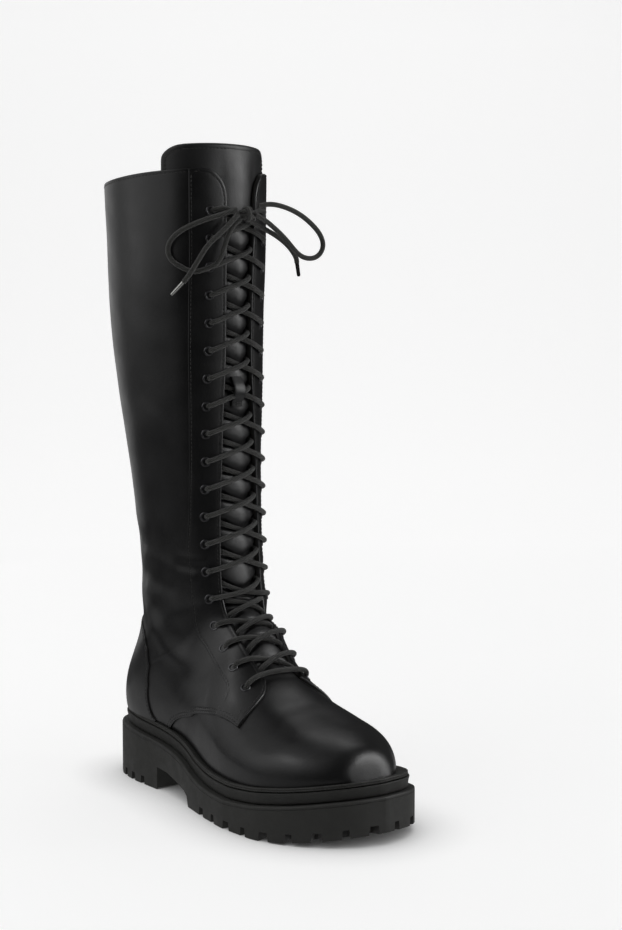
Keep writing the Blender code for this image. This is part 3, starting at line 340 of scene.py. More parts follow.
FLAP_FRONT_LATERAL = np.array([
    (5.48, -60.0), (5.49, -55.0), (5.51, -48.5), (5.55, -37.5), (5.60, -31.5), (5.66, -27.0),
    (5.72, -24.4), (5.79, -22.4), (5.85, -21.0), (5.90, -20.2),
])
FLAP_FRONT_MEDIAL = np.array([
    (5.42, 52.0), (5.46, 45.0), (5.52, 36.0), (5.60, 29.0), (5.71, 23.5), (5.84, 18.5), (5.90, 16.3),
])
COUNTER_EDGE = np.array([
    (9.00, 117.5), (9.42, 106.0), (9.83, 96.5), (10.37, 91.0), (10.97, 92.5), (11.50, 100.0),
    (11.86, 109.0), (12.15, 123.0), (12.32, 140.0), (12.40, 158.0), (12.43, 179.0),
])
CORNER_WIDTHS = (-18.0, 14.0)   # the facings' rounded top corners, lateral and medial
CORNER_HEIGHT = 22.0
ZIP_SLOT = 5.4


def along_table(table, station):
    """A seam's angle at a station, with straight runs between its rows."""
    return np.interp(station, table[:, 0], table[:, 1])


COLLAR_GUESS = 19.1             # near enough for three steps to settle


def collar_station(angle):
    """The station at which the form meets the collar's plane, for each angle."""
    station = np.full(np.shape(angle), COLLAR_GUESS)
    for _ in range(3):
        y = last_point(station, angle)[..., 1]
        share = (y - COLLAR_FRONT[0]) / (COLLAR_BACK[0] - COLLAR_FRONT[0])
        wanted = COLLAR_FRONT[1] + (COLLAR_BACK[1] - COLLAR_FRONT[1]) * share
        station = EVEN_STATION + (wanted - EVEN_HEIGHT) / ROW_HEIGHT
    return station


TOP_ROW = 19.2                  # the row of every panel that lies on the collar's edge


def levelled(station, angle):
    """Rows above EVEN_STATION lean evenly, so that the row TOP_ROW lies on the collar's edge."""
    share = np.clip((station - EVEN_STATION) / (TOP_ROW - EVEN_STATION), 0, None)
    leaning = EVEN_STATION + share * (collar_station(angle) - EVEN_STATION)
    return np.where(station > EVEN_STATION, leaning, station)


def throat_edges(stations, corners=CORNER_WIDTHS):
    """The throat's two edges as angles, with the rounded corners at the collar."""
    stations = np.asarray(stations, float)
    fall = np.clip((TOP_ROW - stations) * ROW_HEIGHT, 0, CORNER_HEIGHT)
    turn = 1 - np.sqrt(np.clip(1 - (1 - fall / CORNER_HEIGHT) ** 2, 0, 1))
    return [angle_at_x(stations, MIDLINE_X + unbent(THROAT[:, 0], THROAT[:, column], stations)
                       + corner * turn) for column, corner in zip((1, 2), corners)]


def throat_plain(stations):
    """The throat's edges without their rounded corners."""
    return throat_edges(stations, corners=(0.0, 0.0))


zip_angle = Spline(ZIP_LINE[:, 0], ZIP_LINE[:, 1])


def welt_table(side):
    """The angle, for stations up to 10.5, at which the form sinks 1 mm into the welt."""
    stations = np.arange(0.0, 10.6, 0.05)
    first, step = 4.0, 0.5
    angles = np.arange(first, 180.5, step)
    points = last_point(stations[:, None], side * angles[None])
    above = points[..., 2] - (upper_foot_z(points[..., 1]) - 1.0)
    found = []
    for row in above:
        under = np.nonzero(row < 0)[0]
        if len(under) == 0:
            found.append(180.0)
        elif under[0] == 0:
            found.append(first)
        else:
            high = under[0]
            share = row[high - 1] / (row[high - 1] - row[high])
            found.append(angles[high - 1] + step * share)
    return stations, side * np.array(found)


WELT_LINE = {side: welt_table(side) for side, _ in SIDES}


def welt_angle(stations, side):
    """The lowest angle of the upper on one side: at the welt, or 180 on the back seam."""
    return np.interp(stations, *WELT_LINE[side])


# --- creases: soft ridges (+) and troughs (-) -----------------------------------------------------
# Height in mm, width in mm, then (station, angle) along the crease.
Crease = namedtuple("Crease", "height width route")


def on_both_sides(*creases):
    """The same creases on the lateral side and on the medial side."""
    return [(height, width, [(station, side * angle) for station, angle in route])
            for side, _ in SIDES for height, width, route in creases]


LEATHER_CREASES = [Crease(*row) for row in (
    # the long fold that sags over the ankle on the lateral side, and the hollow before it
    (1.5, 8.0, ((13.30, -125), (12.64, -117), (12.26, -103), (11.66, -90), (10.72, -77.5), (9.82, -71),
                (9.06, -70), (8.50, -69))),
    (-0.7, 11.0, ((12.6, -100), (12.0, -84), (11.3, -72), (10.6, -64), (9.7, -60))),
    # small folds above the ankle, seen as bright lines
    (0.4, 2.4, ((13.66, -66), (13.62, -58), (13.60, -46), (13.60, -36), (13.61, -26))),
    (-0.4, 2.6, ((13.50, -70), (13.47, -58), (13.45, -44), (13.46, -30))),
    (0.3, 3.0, ((13.38, -66), (13.33, -54), (13.30, -42))),
    (0.5, 6.0, ((13.62, -112), (13.55, -96), (13.45, -78), (13.36, -62))),
    (-0.5, 6.0, ((13.25, -118), (13.15, -98), (13.02, -80), (12.95, -64))),
    (0.45, 5.5, ((12.95, -112), (12.80, -98), (12.68, -84))),
    (0.4, 7.0, ((14.35, -140), (14.15, -122), (14.05, -104), (14.02, -90))),
    (-0.35, 8.0, ((14.00, -146), (13.85, -128), (13.78, -112))),
    # long slow waves in the shaft
    (0.25, 14.0, ((15.9, -72), (15.5, -88), (15.25, -108), (15.2, -130))),
    (-0.22, 16.0, ((16.8, -58), (16.2, -78), (15.8, -100))),
    (0.2, 15.0, ((18.2, -66), (17.6, -86), (17.2, -112))),
    (-0.18, 16.0, ((18.7, -90), (18.2, -112), (18.0, -138))),
    # the same on the medial side
    (1.5, 6.5, ((12.1, 112), (11.5, 100), (10.9, 88), (10.3, 66), (9.7, 62))),
    (-1.3, 7.5, ((12.2, 66), (11.3, 58), (10.4, 56), (9.6, 54))),
    (0.9, 5.5, ((13.62, 122), (13.55, 102), (13.5, 92))),
    (0.8, 5.0, ((13.60, 72), (13.50, 60), (13.42, 50))),
    (-0.8, 6.0, ((13.25, 118), (13.15, 98), (13.05, 66), (12.98, 54))),
    (0.25, 14.0, ((15.9, 66), (15.4, 80))),
    (-0.2, 15.0, ((16.9, 58), (16.4, 76))),
    (0.2, 14.0, ((15.6, 104), (15.3, 130))),
    # the back of the ankle
    *on_both_sides((1.2, 7.0, ((13.1, 150), (13.05, 180))), (-1.0, 7.0, ((13.5, 150), (13.45, 180))),
                   (0.8, 7.0, ((13.85, 156), (13.8, 180)))),
    # where the vamp bends over the ball of the foot
    (-0.22, 6.0, ((5.05, -34), (4.95, -12), (4.95, 12), (5.05, 34))),
    (0.18, 6.0, ((4.62, -48), (4.50, -20), (4.50, 14), (4.62, 42))),
    (-0.15, 6.0, ((4.25, -66), (4.10, -46), (4.05, -28))),
    (0.12, 6.5, ((5.35, -58), (5.10, -66), (4.80, -76))),
    (-0.12, 6.5, ((6.10, -78), (5.70, -84), (5.30, -88))),
    (-0.2, 6.0, ((4.30, 66), (4.12, 46), (4.06, 30))),
    # the quarter below the facing
    (0.2, 8.0, ((9.2, -104), (8.6, -92), (8.0, -80), (7.5, -66))),
    (-0.2, 8.0, ((8.9, -82), (8.3, -72), (7.7, -62))),
    (0.15, 7.0, ((7.4, -74), (7.0, -66))),
)]


def gaps_to(points, line):
    """Distance of every point to a line of points in mm, and the share of the line's steps there."""
    best = np.full(len(points), 1e9)
    share = np.zeros(len(points))
    for number, (start, end) in enumerate(zip(line[:-1], line[1:])):
        step = end - start
        size = step @ step
        if size < 1e-12:
            continue
        part = np.clip((points - start) @ step / size, 0, 1)
        gap = np.linalg.norm(points - start - part[:, None] * step, axis=1)
        nearer = gap < best
        best[nearer] = gap[nearer]
        share[nearer] = ((number + part) / (len(line) - 1))[nearer]
    return best, share


def distance_to(points, route):
    """Distance of every point to a route over the form, and the share of the route's length there."""
    route = np.asarray(route, float)
    ends = last_point(route[:, 0], route[:, 1])
    reach = walked(ends)
    at = np.linspace(0, reach[-1], max(2, int(reach[-1] / FINE_STEP) + 1))
    curve = Spline(reach, route) if len(route) > 2 else None
    places = curve(at) if curve else read_at(at, reach, route)
    gap, share = gaps_to(points.reshape(-1, 3), last_point(places[:, 0], places[:, 1]))
    return gap.reshape(points.shape[:-1]), share.reshape(points.shape[:-1])


def crease_height(points):
    """The sum of the creases: each is its height times a bell curve of the distance over its width,
    and fades out smoothly at its ends."""
    height = np.zeros(points.shape[:-1])
    for crease in LEATHER_CREASES:
        box = last_point(*np.array(crease.route, float).T)
        reach = 3 * crease.width
        near = np.all((points > box.min(0) - reach) & (points < box.max(0) + reach), axis=-1)
        if not near.any():
            continue
        gap, share = distance_to(points[near], crease.route)
        fade = np.clip(np.minimum(share, 1 - share) * 5 + 0.05, 0, 1)
        fade = fade * fade * (3 - 2 * fade)
        height[near] += crease.height * np.exp(-(gap / crease.width) ** 2) * fade
    return height


# Slow unevenness of the leather: height, wavelength round and along, phase.
WAVES = ((0.05, 41.0, 83.0, 0.4), (0.04, -33.0, 57.0, 2.1), (0.03, 23.0, -37.0, 4.0))


def unevenness(points):
    """Three crossing sine waves over the surface, in mm."""
    height = np.zeros(points.shape[:-1])
    for size, across, along, phase in WAVES:
        height += size * np.sin(2 * math.pi * ((points[..., 0] + 0.6 * points[..., 1]) / across
                                               + points[..., 2] / along) + phase)
    return height


def form(station, angle, lift):
    """The form moved out by a lift in mm, and by the creases and unevenness of the leather."""
    points = last_point(station, angle)
    lift = np.asarray(lift, float) + crease_height(points) + unevenness(points)
    return points + last_normal(station, angle) * lift[..., None]


# --- meshes -------------------------------------------------------------------------------------
PIECES = {}


def new_object(name, data):
    """An object put into the scene."""
    made = bpy.data.objects.new(name, data)
    bpy.context.scene.collection.objects.link(made)
    return made


def finished(name, points, faces, materials, slots=None, uv=None, sharp=38):
    """A mesh object from points in mm, faces by corner count, and a material index for each face."""
    mesh = bpy.data.meshes.new(name)
    points = np.asarray(points, np.float32).reshape(-1, 3) * MM
    groups = [np.asarray(group, np.int32) for group in faces]
    counts = np.concatenate([np.full(len(group), group.shape[1], np.int32) for group in groups])
    corners = np.concatenate([group.ravel() for group in groups])
    mesh.vertices.add(len(points))
    mesh.vertices.foreach_set("co", points.ravel())
    mesh.loops.add(len(corners))
    mesh.loops.foreach_set("vertex_index", corners)
    mesh.polygons.add(len(counts))
    mesh.polygons.foreach_set("loop_start", np.concatenate([[0], np.cumsum(counts)[:-1]]).astype(np.int32))
    mesh.update(calc_edges=True)
    for material in materials:
        mesh.materials.append(material)
    if slots is not None:
        mesh.polygons.foreach_set("material_index", np.asarray(slots, np.int32))
    if uv is not None:
        layer = mesh.uv_layers.new(name="along")
        layer.data.foreach_set("uv", np.asarray(uv, np.float32)[corners].ravel())
    mesh.validate()
    mesh.shade_smooth()
    mesh.set_sharp_from_angle(angle=math.radians(sharp))
    PIECES[name] = new_object(name, mesh)
    return PIECES[name]


def belongs(piece, slot_name, *nodes):
    """Hide the solid parts that a piece stands for and let it ride on the boot; slot_name, the finish it
    takes, is not used.
    """
    if nodes:
        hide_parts(*nodes)
    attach(piece, "boot")
    return piece


def grid_faces(rows, columns, start=0, wrap=False):
    """Quads over a grid of points; with wrap, each row closes on itself."""
    row = np.arange(rows - 1)[:, None]
    column = np.arange(columns if wrap else columns - 1)[None]
    beside_column = (column + 1) % columns
    quads = np.stack([row * columns + column, row * columns + beside_column,
                      (row + 1) * columns + beside_column, (row + 1) * columns + column], -1)
    return start + quads.reshape(-1, 4)


def nearest_on(points, line):
    """Distance of every point to a line in mm, worked out only within 6 mm of the line's box."""
    flat = points.reshape(-1, 3)
    best = np.full(len(flat), 1e9)
    near = np.all((flat > line.min(0) - 6) & (flat < line.max(0) + 6), axis=1)
    best[near] = gaps_to(flat[near], line)[0]
    return best.reshape(points.shape[:-1])


def sheet_faces(shape, joined=()):
    """Faces of a sheet whose outer and inner surface share a grid, with the rims that join them,
    and the finish of each: 0 outside, 1 on a rim, 2 inside.  A joined side has no rim."""
    count = shape[0] * shape[1]
    index = np.arange(count).reshape(shape)
    faces = [grid_faces(*shape)[:, ::-1], grid_faces(*shape, start=count)]
    slots = [np.zeros(len(faces[0])), np.full(len(faces[1]), 2)]
    for side, line in (("low", index[:, 0]), ("high", index[::-1, -1]), ("bottom", index[0, ::-1]),
                       ("top", index[-1])):
        if side in joined:
            continue
        rim = np.stack([line[:-1], line[1:], line[1:] + count, line[:-1] + count], 1)
        faces.append(rim[:, ::-1])
        slots.append(np.full(len(rim), 1))
    return faces, np.concatenate(slots)


# Distances in mm from a cut edge at which a panel has a line of points, to round the edge.
EDGE_LINES = np.array([0.0, 0.1, 0.35, 0.8, 1.3, 1.9, 2.4, 2.9, 3.8])
STITCH_DIP = 0.16               # how far a row of stitches pulls the leather in, and how widely
STITCH_DIP_WIDTH = 0.45


def panel(name, stations, low, high, columns, outer, inner, materials, radius=0.8, stitched=None,
          joined=(), outer_shape=None):
    """A piece of leather on the form between two lines of angles, one row for each station.

    The outer surface keeps its lift but follows a quarter circle down at each cut edge, and dips a
    little along each row of stitches.  A rim joins it to the inner surface.
    """
    stations = np.asarray(stations, float)
    low = np.asarray(low, float)
    high = np.asarray(high, float)
    width = (high - low) * arc_per_degree(stations, (low + high) / 2)
    squeeze = np.clip(width / (2.6 * EDGE_LINES[-1]), 0.01, 1)[:, None]
    from_low = low[:, None] + EDGE_LINES * squeeze / arc_per_degree(stations, low)[:, None]
    from_high = high[:, None] - EDGE_LINES[::-1] * squeeze / arc_per_degree(stations, high)[:, None]
    share = np.linspace(0, 1, columns + 2)[1:-1]
    middle = from_low[:, -1:] * (1 - share) + from_high[:, :1] * share
    angles = np.concatenate([from_low, middle, from_high], 1)
    rows = levelled(stations[:, None], angles)
    bare = last_point(rows, angles)
    stitched = stitched or {}
    drop = np.zeros(bare.shape[:2])
    rounding = radius if isinstance(radius, dict) else {}
    edges = {"low": bare[:, 0], "high": bare[:, -1], "top": bare[-1], "bottom": bare[0]}
    for side, line in edges.items():
        if side in joined or (side in ("top", "bottom") and side not in stitched):
            continue
        gap = nearest_on(bare, line)
        turn = rounding.get(side, 0.7) if rounding else radius
        within = np.clip(turn - gap, 0, turn)
        drop = np.maximum(drop, turn - np.sqrt(turn ** 2 - within ** 2))
        for row in stitched.get(side, ()):
            drop += STITCH_DIP * np.exp(-((gap - row) / STITCH_DIP_WIDTH) ** 2)
    lift = outer - drop
    if outer_shape is not None:
        lift = lift + outer_shape(rows, angles, bare)
    height = crease_height(bare) + unevenness(bare)
    normal = last_normal(rows, angles)
    outside = bare + normal * (lift + height)[..., None]
    inside = bare + normal * (inner + height)[..., None]
    faces, slots = sheet_faces(outside.shape[:2], joined)
    return finished(name, np.concatenate([outside.reshape(-1, 3), inside.reshape(-1, 3)]), faces,
                    materials, slots)


def weld(name, parts):
    """Join pieces of one leather into a single mesh and merge the lines where they meet."""
    work = bmesh.new()
    for part in parts:
        work.from_mesh(part.data)
    bmesh.ops.remove_doubles(work, verts=work.verts, dist=0.02 * MM)
    mesh = bpy.data.meshes.new(name)
    work.to_mesh(mesh)
    work.free()
    for material in parts[0].data.materials:
        mesh.materials.append(material)
    mesh.shade_smooth()
    mesh.set_sharp_from_angle(angle=math.radians(38))
    for part in parts:
        PIECES.pop(part.name)
        bpy.data.objects.remove(part, do_unlink=True)
    PIECES[name] = new_object(name, mesh)
    return PIECES[name]


def even_curve(points, spacing):
    """Evenly spaced points on the smooth curve through a cord's own points, with the length to each."""
    points = np.asarray(points, float)
    steps = np.linalg.norm(np.diff(points, axis=0), axis=1)
    reach = np.concatenate([[0], np.cumsum(steps ** 0.5)])
    fine = Spline(reach, points)(np.linspace(0, reach[-1], max(50, int(steps.sum() * 4))))
    length = walked(fine)
    at = np.linspace(0, length[-1], max(3, int(round(length[-1] / spacing)) + 1))
    return read_at(at, length, fine), at


def turned_frames(points):
    """Two unit vectors across a curve at each point, carried along it without twisting."""
    tangent = unit(np.gradient(points, axis=0))
    sides = [unit(np.cross(tangent[0], (0.3, 0.5, 0.8)))]
    for step in tangent[1:]:
        sides.append(unit(sides[-1] - step * (sides[-1] @ step)))
    sides = np.array(sides)
    return sides, np.cross(tangent, sides)


def tube(points, lengths, radius, sides):
    """Rings round a curve: points, faces and (share round, length in mm) coordinates."""
    across, upward = turned_frames(points)
    turn = np.linspace(0, 2 * math.pi, sides, endpoint=False)
    radius = np.broadcast_to(np.asarray(radius, float), (len(points),))[:, None, None]
    rings = (points[:, None] + radius * (np.cos(turn)[:, None] * across[:, None]
                                         + np.sin(turn)[:, None] * upward[:, None]))
    faces = [grid_faces(len(points), sides, wrap=True),
             np.array([np.arange(sides)[::-1]]), np.array([np.arange(sides) + (len(points) - 1) * sides])]
    around = np.broadcast_to(turn / (2 * math.pi), (len(points), sides))
    along = np.broadcast_to(np.asarray(lengths)[:, None], (len(points), sides))
    return rings.reshape(-1, 3), faces, np.stack([around, along], -1).reshape(-1, 2)


def tubes(name, routes, radius, materials, sides, spacing):
    """Several cords as one mesh; each route is a list of points in mm."""
    points, uvs, quads, caps = [], [], [], []
    start = 0
    for route in routes:
        line, lengths = even_curve(route, spacing)
        rings, faces, uv = tube(line, lengths, radius, sides)
        points.append(rings)
        uvs.append(uv)
        quads.append(faces[0] + start)
        caps += [faces[1] + start, faces[2] + start]
        start += len(rings)
    return finished(name, np.concatenate(points), [np.concatenate(quads), np.concatenate(caps)],
                    materials, uv=np.concatenate(uvs), sharp=60)


def copies(name, template, faces, places, axes, materials, sharp=60):
    """Many copies of a small shape: each turned by its axes (three columns) and moved to its place."""
    template = np.asarray(template, float)
    points = np.einsum("nij,kj->nki", axes, template) + places[:, None]
    lift = (np.arange(len(places)) * len(template))[:, None, None]
    groups = [(group[None] + lift).reshape(-1, group.shape[1]) for group in map(np.asarray, faces)]
    return finished(name, points.reshape(-1, 3), groups, materials, sharp=sharp)


def lathe(profile, segments):
    """A profile of (radius, height) turned about Z: points and faces, open at the middle."""
    turn = np.linspace(0, 2 * math.pi, segments, endpoint=False)
    profile = np.asarray(profile, float)
    points = np.stack([profile[:, 0, None] * np.cos(turn), profile[:, 0, None] * np.sin(turn),
                       np.broadcast_to(profile[:, 1, None], (len(profile), segments))], -1)
    return points.reshape(-1, 3), [grid_faces(len(profile), segments, wrap=True)]


# --- stitches -----------------------------------------------------------------------------------
STITCH_RADIUS = 0.26
STITCH_LENGTH = 2.35
STITCH_PITCH = 3.0
STITCH_LINES = []               # (places, axes) of every row


def stitch_template():
    """A capsule of thread along X whose ends dip into the leather."""
    along = np.array([-0.5, -0.43, -0.25, 0.25, 0.43, 0.5]) * STITCH_LENGTH
    radius = np.array([0.3, 0.8, 1.0, 1.0, 0.8, 0.3]) * STITCH_RADIUS
    sink = np.array([-0.32, -0.12, 0.0, 0.0, -0.12, -0.32])
    turn = np.linspace(0, 2 * math.pi, 6, endpoint=False)
    points = np.stack([np.broadcast_to(along[:, None], (6, 6)), radius[:, None] * np.cos(turn),
                       radius[:, None] * np.sin(turn) + sink[:, None]], -1)
    faces = [grid_faces(6, 6, wrap=True)[:, ::-1], np.array([np.arange(6), np.arange(35, 29, -1)])]
    return points.reshape(-1, 3), faces


def stitch_line(points, normals, offset, lift, pitch=STITCH_PITCH, heights=True, start=0.0, end=0.0):
    """Remember a row of stitches beside a line on the leather; offset is to the line's left."""
    tangent = np.gradient(points, axis=0)
    tangent /= np.linalg.norm(tangent, axis=1, keepdims=True) + 1e-12
    line = points + np.cross(normals, tangent) * offset
    reach = walked(line)
    count = int((reach[-1] - start - end) / pitch)
    if count < 1:
        return
    at = start + (np.arange(count) + 0.5) * pitch
    places = read_at(at, reach, line)
    along = unit(read_at(at, reach, np.gradient(line, axis=0)))
    across = unit(np.cross(read_at(at, reach, normals), along))
    out = np.cross(along, across)
    height = lift * np.ones(len(places))
    if heights:
        height = height + crease_height(places) + unevenness(places)
    places = places + out * height[:, None]
    STITCH_LINES.append((places, np.stack([along, across, out], -1)))


def route_line(route):
    """Points and normals of the form along a route of (station, angle), half a millimetre apart."""
    ends = last_point(levelled(route[:, 0], route[:, 1]), route[:, 1])
    reach = walked(ends)
    keep = np.concatenate([[True], np.diff(reach) > 1e-6])
    at = np.arange(0, reach[-1], min(0.5, reach[-1] / 6))
    stations = np.interp(at, reach[keep], route[keep, 0])
    angles = np.interp(at, reach[keep], route[keep, 1])
    rows = levelled(stations, angles)
    points = last_point(rows, angles)
    kernel = np.ones(5) / 5
    padded = np.pad(points, ((2, 2), (0, 0)), mode="reflect", reflect_type="odd")
    points = np.stack([np.convolve(column, kernel, "valid") for column in padded.T], 1)
    return points, last_normal(rows, angles)


def stitch_route(stations, angles, offset, lift, **more):
    """Remember a row of stitches beside a line over the form."""
    route = np.stack(np.broadcast_arrays(stations, angles), 1)
    stitch_line(*route_line(route), offset, lift, **more)


def make_stitches(name, material):
    """All remembered rows as one mesh."""
    template, faces = stitch_template()
    places = np.concatenate([row[0] for row in STITCH_LINES])
    axes = np.concatenate([row[1] for row in STITCH_LINES])
    return copies(name, template, faces, places, axes, [material])


# --- finishes -----------------------------------------------------------------------------------
def linear(code):
    """An sRGB hex colour as linear RGB with alpha 1."""
    parts = [int(code[i:i + 2], 16) / 255 for i in (1, 3, 5)]
    return tuple(((c + 0.055) / 1.055) ** 2.4 if c > 0.04045 else c / 12.92 for c in parts) + (1.0,)


def node(tree, kind, inputs=None, **settings):
    """Add one shader node: settings are its properties, inputs its values or links by socket."""
    made = tree.nodes.new(kind)
    for key, value in settings.items():
        setattr(made, key, value)
    for key, value in (inputs or {}).items():
        if isinstance(value, bpy.types.NodeSocket):
            tree.links.new(value, made.inputs[key])
        else:
            made.inputs[key].default_value = value
    return made


def finish_named(name, **sockets):
    """A Principled material with constant values on its own sockets; returns it, tree and shader."""
    made = bpy.data.materials.new(name)
    made.use_nodes = True
    tree = made.node_tree
    shader = tree.nodes["Principled BSDF"]
    for key, value in sockets.items():
        shader.inputs[key.replace("_", " ")].default_value = value
    return made, tree, shader


def own_coordinates(tree):
    """Coordinates that move with the piece."""
    return node(tree, "ShaderNodeTexCoord").outputs["Object"]


def worked_out(tree, operation, *values):
    """One step of arithmetic on values or sockets."""
    return node(tree, "ShaderNodeMath", dict(enumerate(values)), operation=operation).outputs[0]


def per_mm(size):
    """The texture scale that repeats about every so many millimetres in object coordinates."""
    return 1000.0 / size


def noise(tree, coords, size, detail=2.0, rough=0.55):
    """Cloudy noise with patches of a size in mm, as values round a half."""
    return node(tree, "ShaderNodeTexNoise", {"Vector": coords, "Scale": per_mm(size), "Detail": detail,
                                             "Roughness": rough}).outputs["Fac"]


def bump(tree, height, depth, before=None):
    """A bump of a depth in mm, added to an earlier one."""
    inputs = {"Height": height, "Distance": depth * MM, "Strength": 1.0}
    if before is not None:
        inputs["Normal"] = before
    return node(tree, "ShaderNodeBump", inputs).outputs["Normal"]


def mapped(tree, value, low, high, from_low=0.3, from_high=0.7):
    """A value stretched from one range to another."""
    return node(tree, "ShaderNodeMapRange", {"Value": value, "From Min": from_low, "From Max": from_high,
                                             "To Min": low, "To Max": high}).outputs["Result"]


def mixed(tree, share, first, second):
    """A colour between two hex colours, by a share."""
    return node(tree, "ShaderNodeMix", {0: share, 6: linear(first), 7: linear(second)},
                data_type="RGBA").outputs[2]


def feed(tree, shader, **sockets):
    """Link values to a shader's sockets."""
    for key, value in sockets.items():
        tree.links.new(value, shader.inputs[key.replace("_", " ")])


def leather(name, dark, light, rough_low, rough_high, grain, swell, coat=0.0):
    """Finished cowhide: fine grain over soft swells, with the gloss rubbed a little unevenly."""
    made, tree, shader = finish_named(name, Coat_Weight=coat, Coat_Roughness=0.30,
                                      Specular_IOR_Level=0.5)
    coords = own_coordinates(tree)
    pores = node(tree, "ShaderNodeTexVoronoi", {"Vector": coords, "Scale": per_mm(1.1)},
                 feature="SMOOTH_F1").outputs["Distance"]
    normal = bump(tree, noise(tree, coords, 19, 2), swell)
    normal = bump(tree, pores, grain, before=normal)
    normal = bump(tree, noise(tree, coords, 0.5, 3), grain * 0.5, before=normal)
    feed(tree, shader, Base_Color=mixed(tree, noise(tree, coords, 26, 3), dark, light), Normal=normal,
         Roughness=mapped(tree, noise(tree, coords, 17, 4), rough_low, rough_high))
    return made


def cloth(name, dark, light, size, depth, roughness=0.9, sheen=0.3):
    """Woven fabric: two crossing waves, one thread size apart."""
    made, tree, shader = finish_named(name, Roughness=roughness, Sheen_Weight=sheen,
                                      Specular_IOR_Level=0.3)
    coords = own_coordinates(tree)
    waves = [node(tree, "ShaderNodeTexWave", {"Vector": coords, "Scale": per_mm(size) / 3, "Distortion": 1.0,
                                              "Detail": 1.0}, bands_direction=way).outputs["Fac"]
             for way in ("Z", "DIAGONAL")]
    weave = worked_out(tree, "MULTIPLY", *waves)
    feed(tree, shader, Base_Color=mixed(tree, weave, dark, light), Normal=bump(tree, weave, depth))
    return made


BRAID_YARNS = 8                 # round the cord
BRAID_RISE = 3.2                # mm along the cord for two yarns


def plaited(name, dark, light):
    """Braided cord: two sets of yarns crossing on its surface, by its own (round, along) coordinates."""
    made, tree, shader = finish_named(name, Roughness=0.82, Sheen_Weight=0.25, Specular_IOR_Level=0.35)
    uv = node(tree, "ShaderNodeUVMap", uv_map="along").outputs["UV"]
    parts = node(tree, "ShaderNodeSeparateXYZ", {"Vector": uv})
    around = worked_out(tree, "MULTIPLY", parts.outputs["X"], float(BRAID_YARNS))
    along = worked_out(tree, "MULTIPLY", parts.outputs["Y"], 1.0 / BRAID_RISE * 2)
    ridges = []
    for operation in ("ADD", "SUBTRACT"):
        turn = worked_out(tree, "MULTIPLY", worked_out(tree, operation, around, along), math.pi)
        ridges.append(worked_out(tree, "ABSOLUTE", worked_out(tree, "SINE", turn)))
    weave = worked_out(tree, "MULTIPLY", *ridges)
    feed(tree, shader, Base_Color=mixed(tree, weave, dark, light), Normal=bump(tree, weave, 0.35))
    return made


def rubber(name, dark, light):
    """Moulded rubber: matte, faintly grainy, with a little dust in the tone."""
    made, tree, shader = finish_named(name, Specular_IOR_Level=0.4)
    coords = own_coordinates(tree)
    normal = bump(tree, noise(tree, coords, 0.6, 2), 0.025)
    feed(tree, shader, Base_Color=mixed(tree, noise(tree, coords, 14, 4), dark, light),
         Roughness=mapped(tree, noise(tree, coords, 9, 3), 0.52, 0.68),
         Normal=bump(tree, noise(tree, coords, 7, 2), 0.10, before=normal))
    return made


def metal(name, colour, roughness, coat=0.0):
    """Plain plated or lacquered metal with faint wear in its gloss."""
    made, tree, shader = finish_named(name, Base_Color=linear(colour), Metallic=1.0, Coat_Weight=coat,
                                      Coat_Roughness=0.12)
    wear = noise(tree, own_coordinates(tree), 3, 3)
    feed(tree, shader, Roughness=mapped(tree, wear, roughness * 0.8, roughness * 1.25))
    return made


SHELL = leather("polished_leather", "#070708", "#0b0b0c", 0.30, 0.40, 0.034, 0.16, coat=0.15)
# rims of the leather: lighter than its face, partly the edge dressing's own tone and partly a painted
# highlight of the light caught along each cut edge
EDGE_TONE_AND_HIGHLIGHT = leather("leather_edge_painted_highlight", "#1a1a19", "#262523", 0.34, 0.44, 0.035, 0.05)
LINING = cloth("lining_leather", "#161615", "#201f1d", 1.4, 0.05, roughness=0.75, sheen=0.1)
TONGUE_HIDE = leather("soft_tongue_leather", "#0c0c0d", "#111112", 0.40, 0.50, 0.040, 0.22, coat=0.05)
RUBBER = rubber("moulded_rubber", "#242422", "#2c2c2a")
BRAID = plaited("braided_lace", "#20201e", "#3c3c39")
THREAD = cloth("seam_thread", "#232322", "#323230", 0.5, 0.03, roughness=0.6, sheen=0.2)
LACQUERED = metal("black_lacquered_metal", "#1c1c1d", 0.24, coat=0.6)
BRIGHT = metal("bright_aglet_metal", "#b9b9b6", 0.22)
ZIP_CLOTH = cloth("woven_zip_tape", "#0c0c0c", "#171717", 0.7, 0.08)
GUNMETAL = metal("blackened_brass", "#5a5a5c", 0.32, coat=0.15)
# painted shade: the near-black barrel and floor under each eyelet stand for the shade inside its hole
SHADE_IN_HOLES = finish_named("painted_hole_shade", Base_Color=linear("#050505"), Roughness=0.9)[0]
LEATHER_SET = [SHELL, EDGE_TONE_AND_HIGHLIGHT, LINING]
TONGUE_SET = [TONGUE_HIDE, EDGE_TONE_AND_HIGHLIGHT, LINING]


# --- the leather of the upper ---------------------------------------------------------------------
VAMP_LIFT = -0.7                # outer surfaces above the form, in mm
QUARTER_LIFT = 0.5
FACING_LIFT = 1.5
COUNTER_LIFT = 1.7
SEAM_STITCH = (1.7, 3.9)        # how far each row of stitches lies from its edge, in mm
COLLAR_STITCH = 2.2
ZIP_STITCH = 2.6
TAPE_STITCH = 8.4               # the second row in front of the zip, which holds its tape
BACK_STITCH = 1.7
FACING_REAR_STITCH = 1.8
FACING_FRONT_STITCH = 2.6
FLAP_STITCH = 2.4
COUNTER_STITCH = 1.9
TONGUE_STITCH = 3.8
STITCH_SINK = 0.03


def low_first(side, outer, inner):
    """The outer and inner line of one side in the order of their angles."""
    return (outer, inner) if side < 0 else (inner, outer)


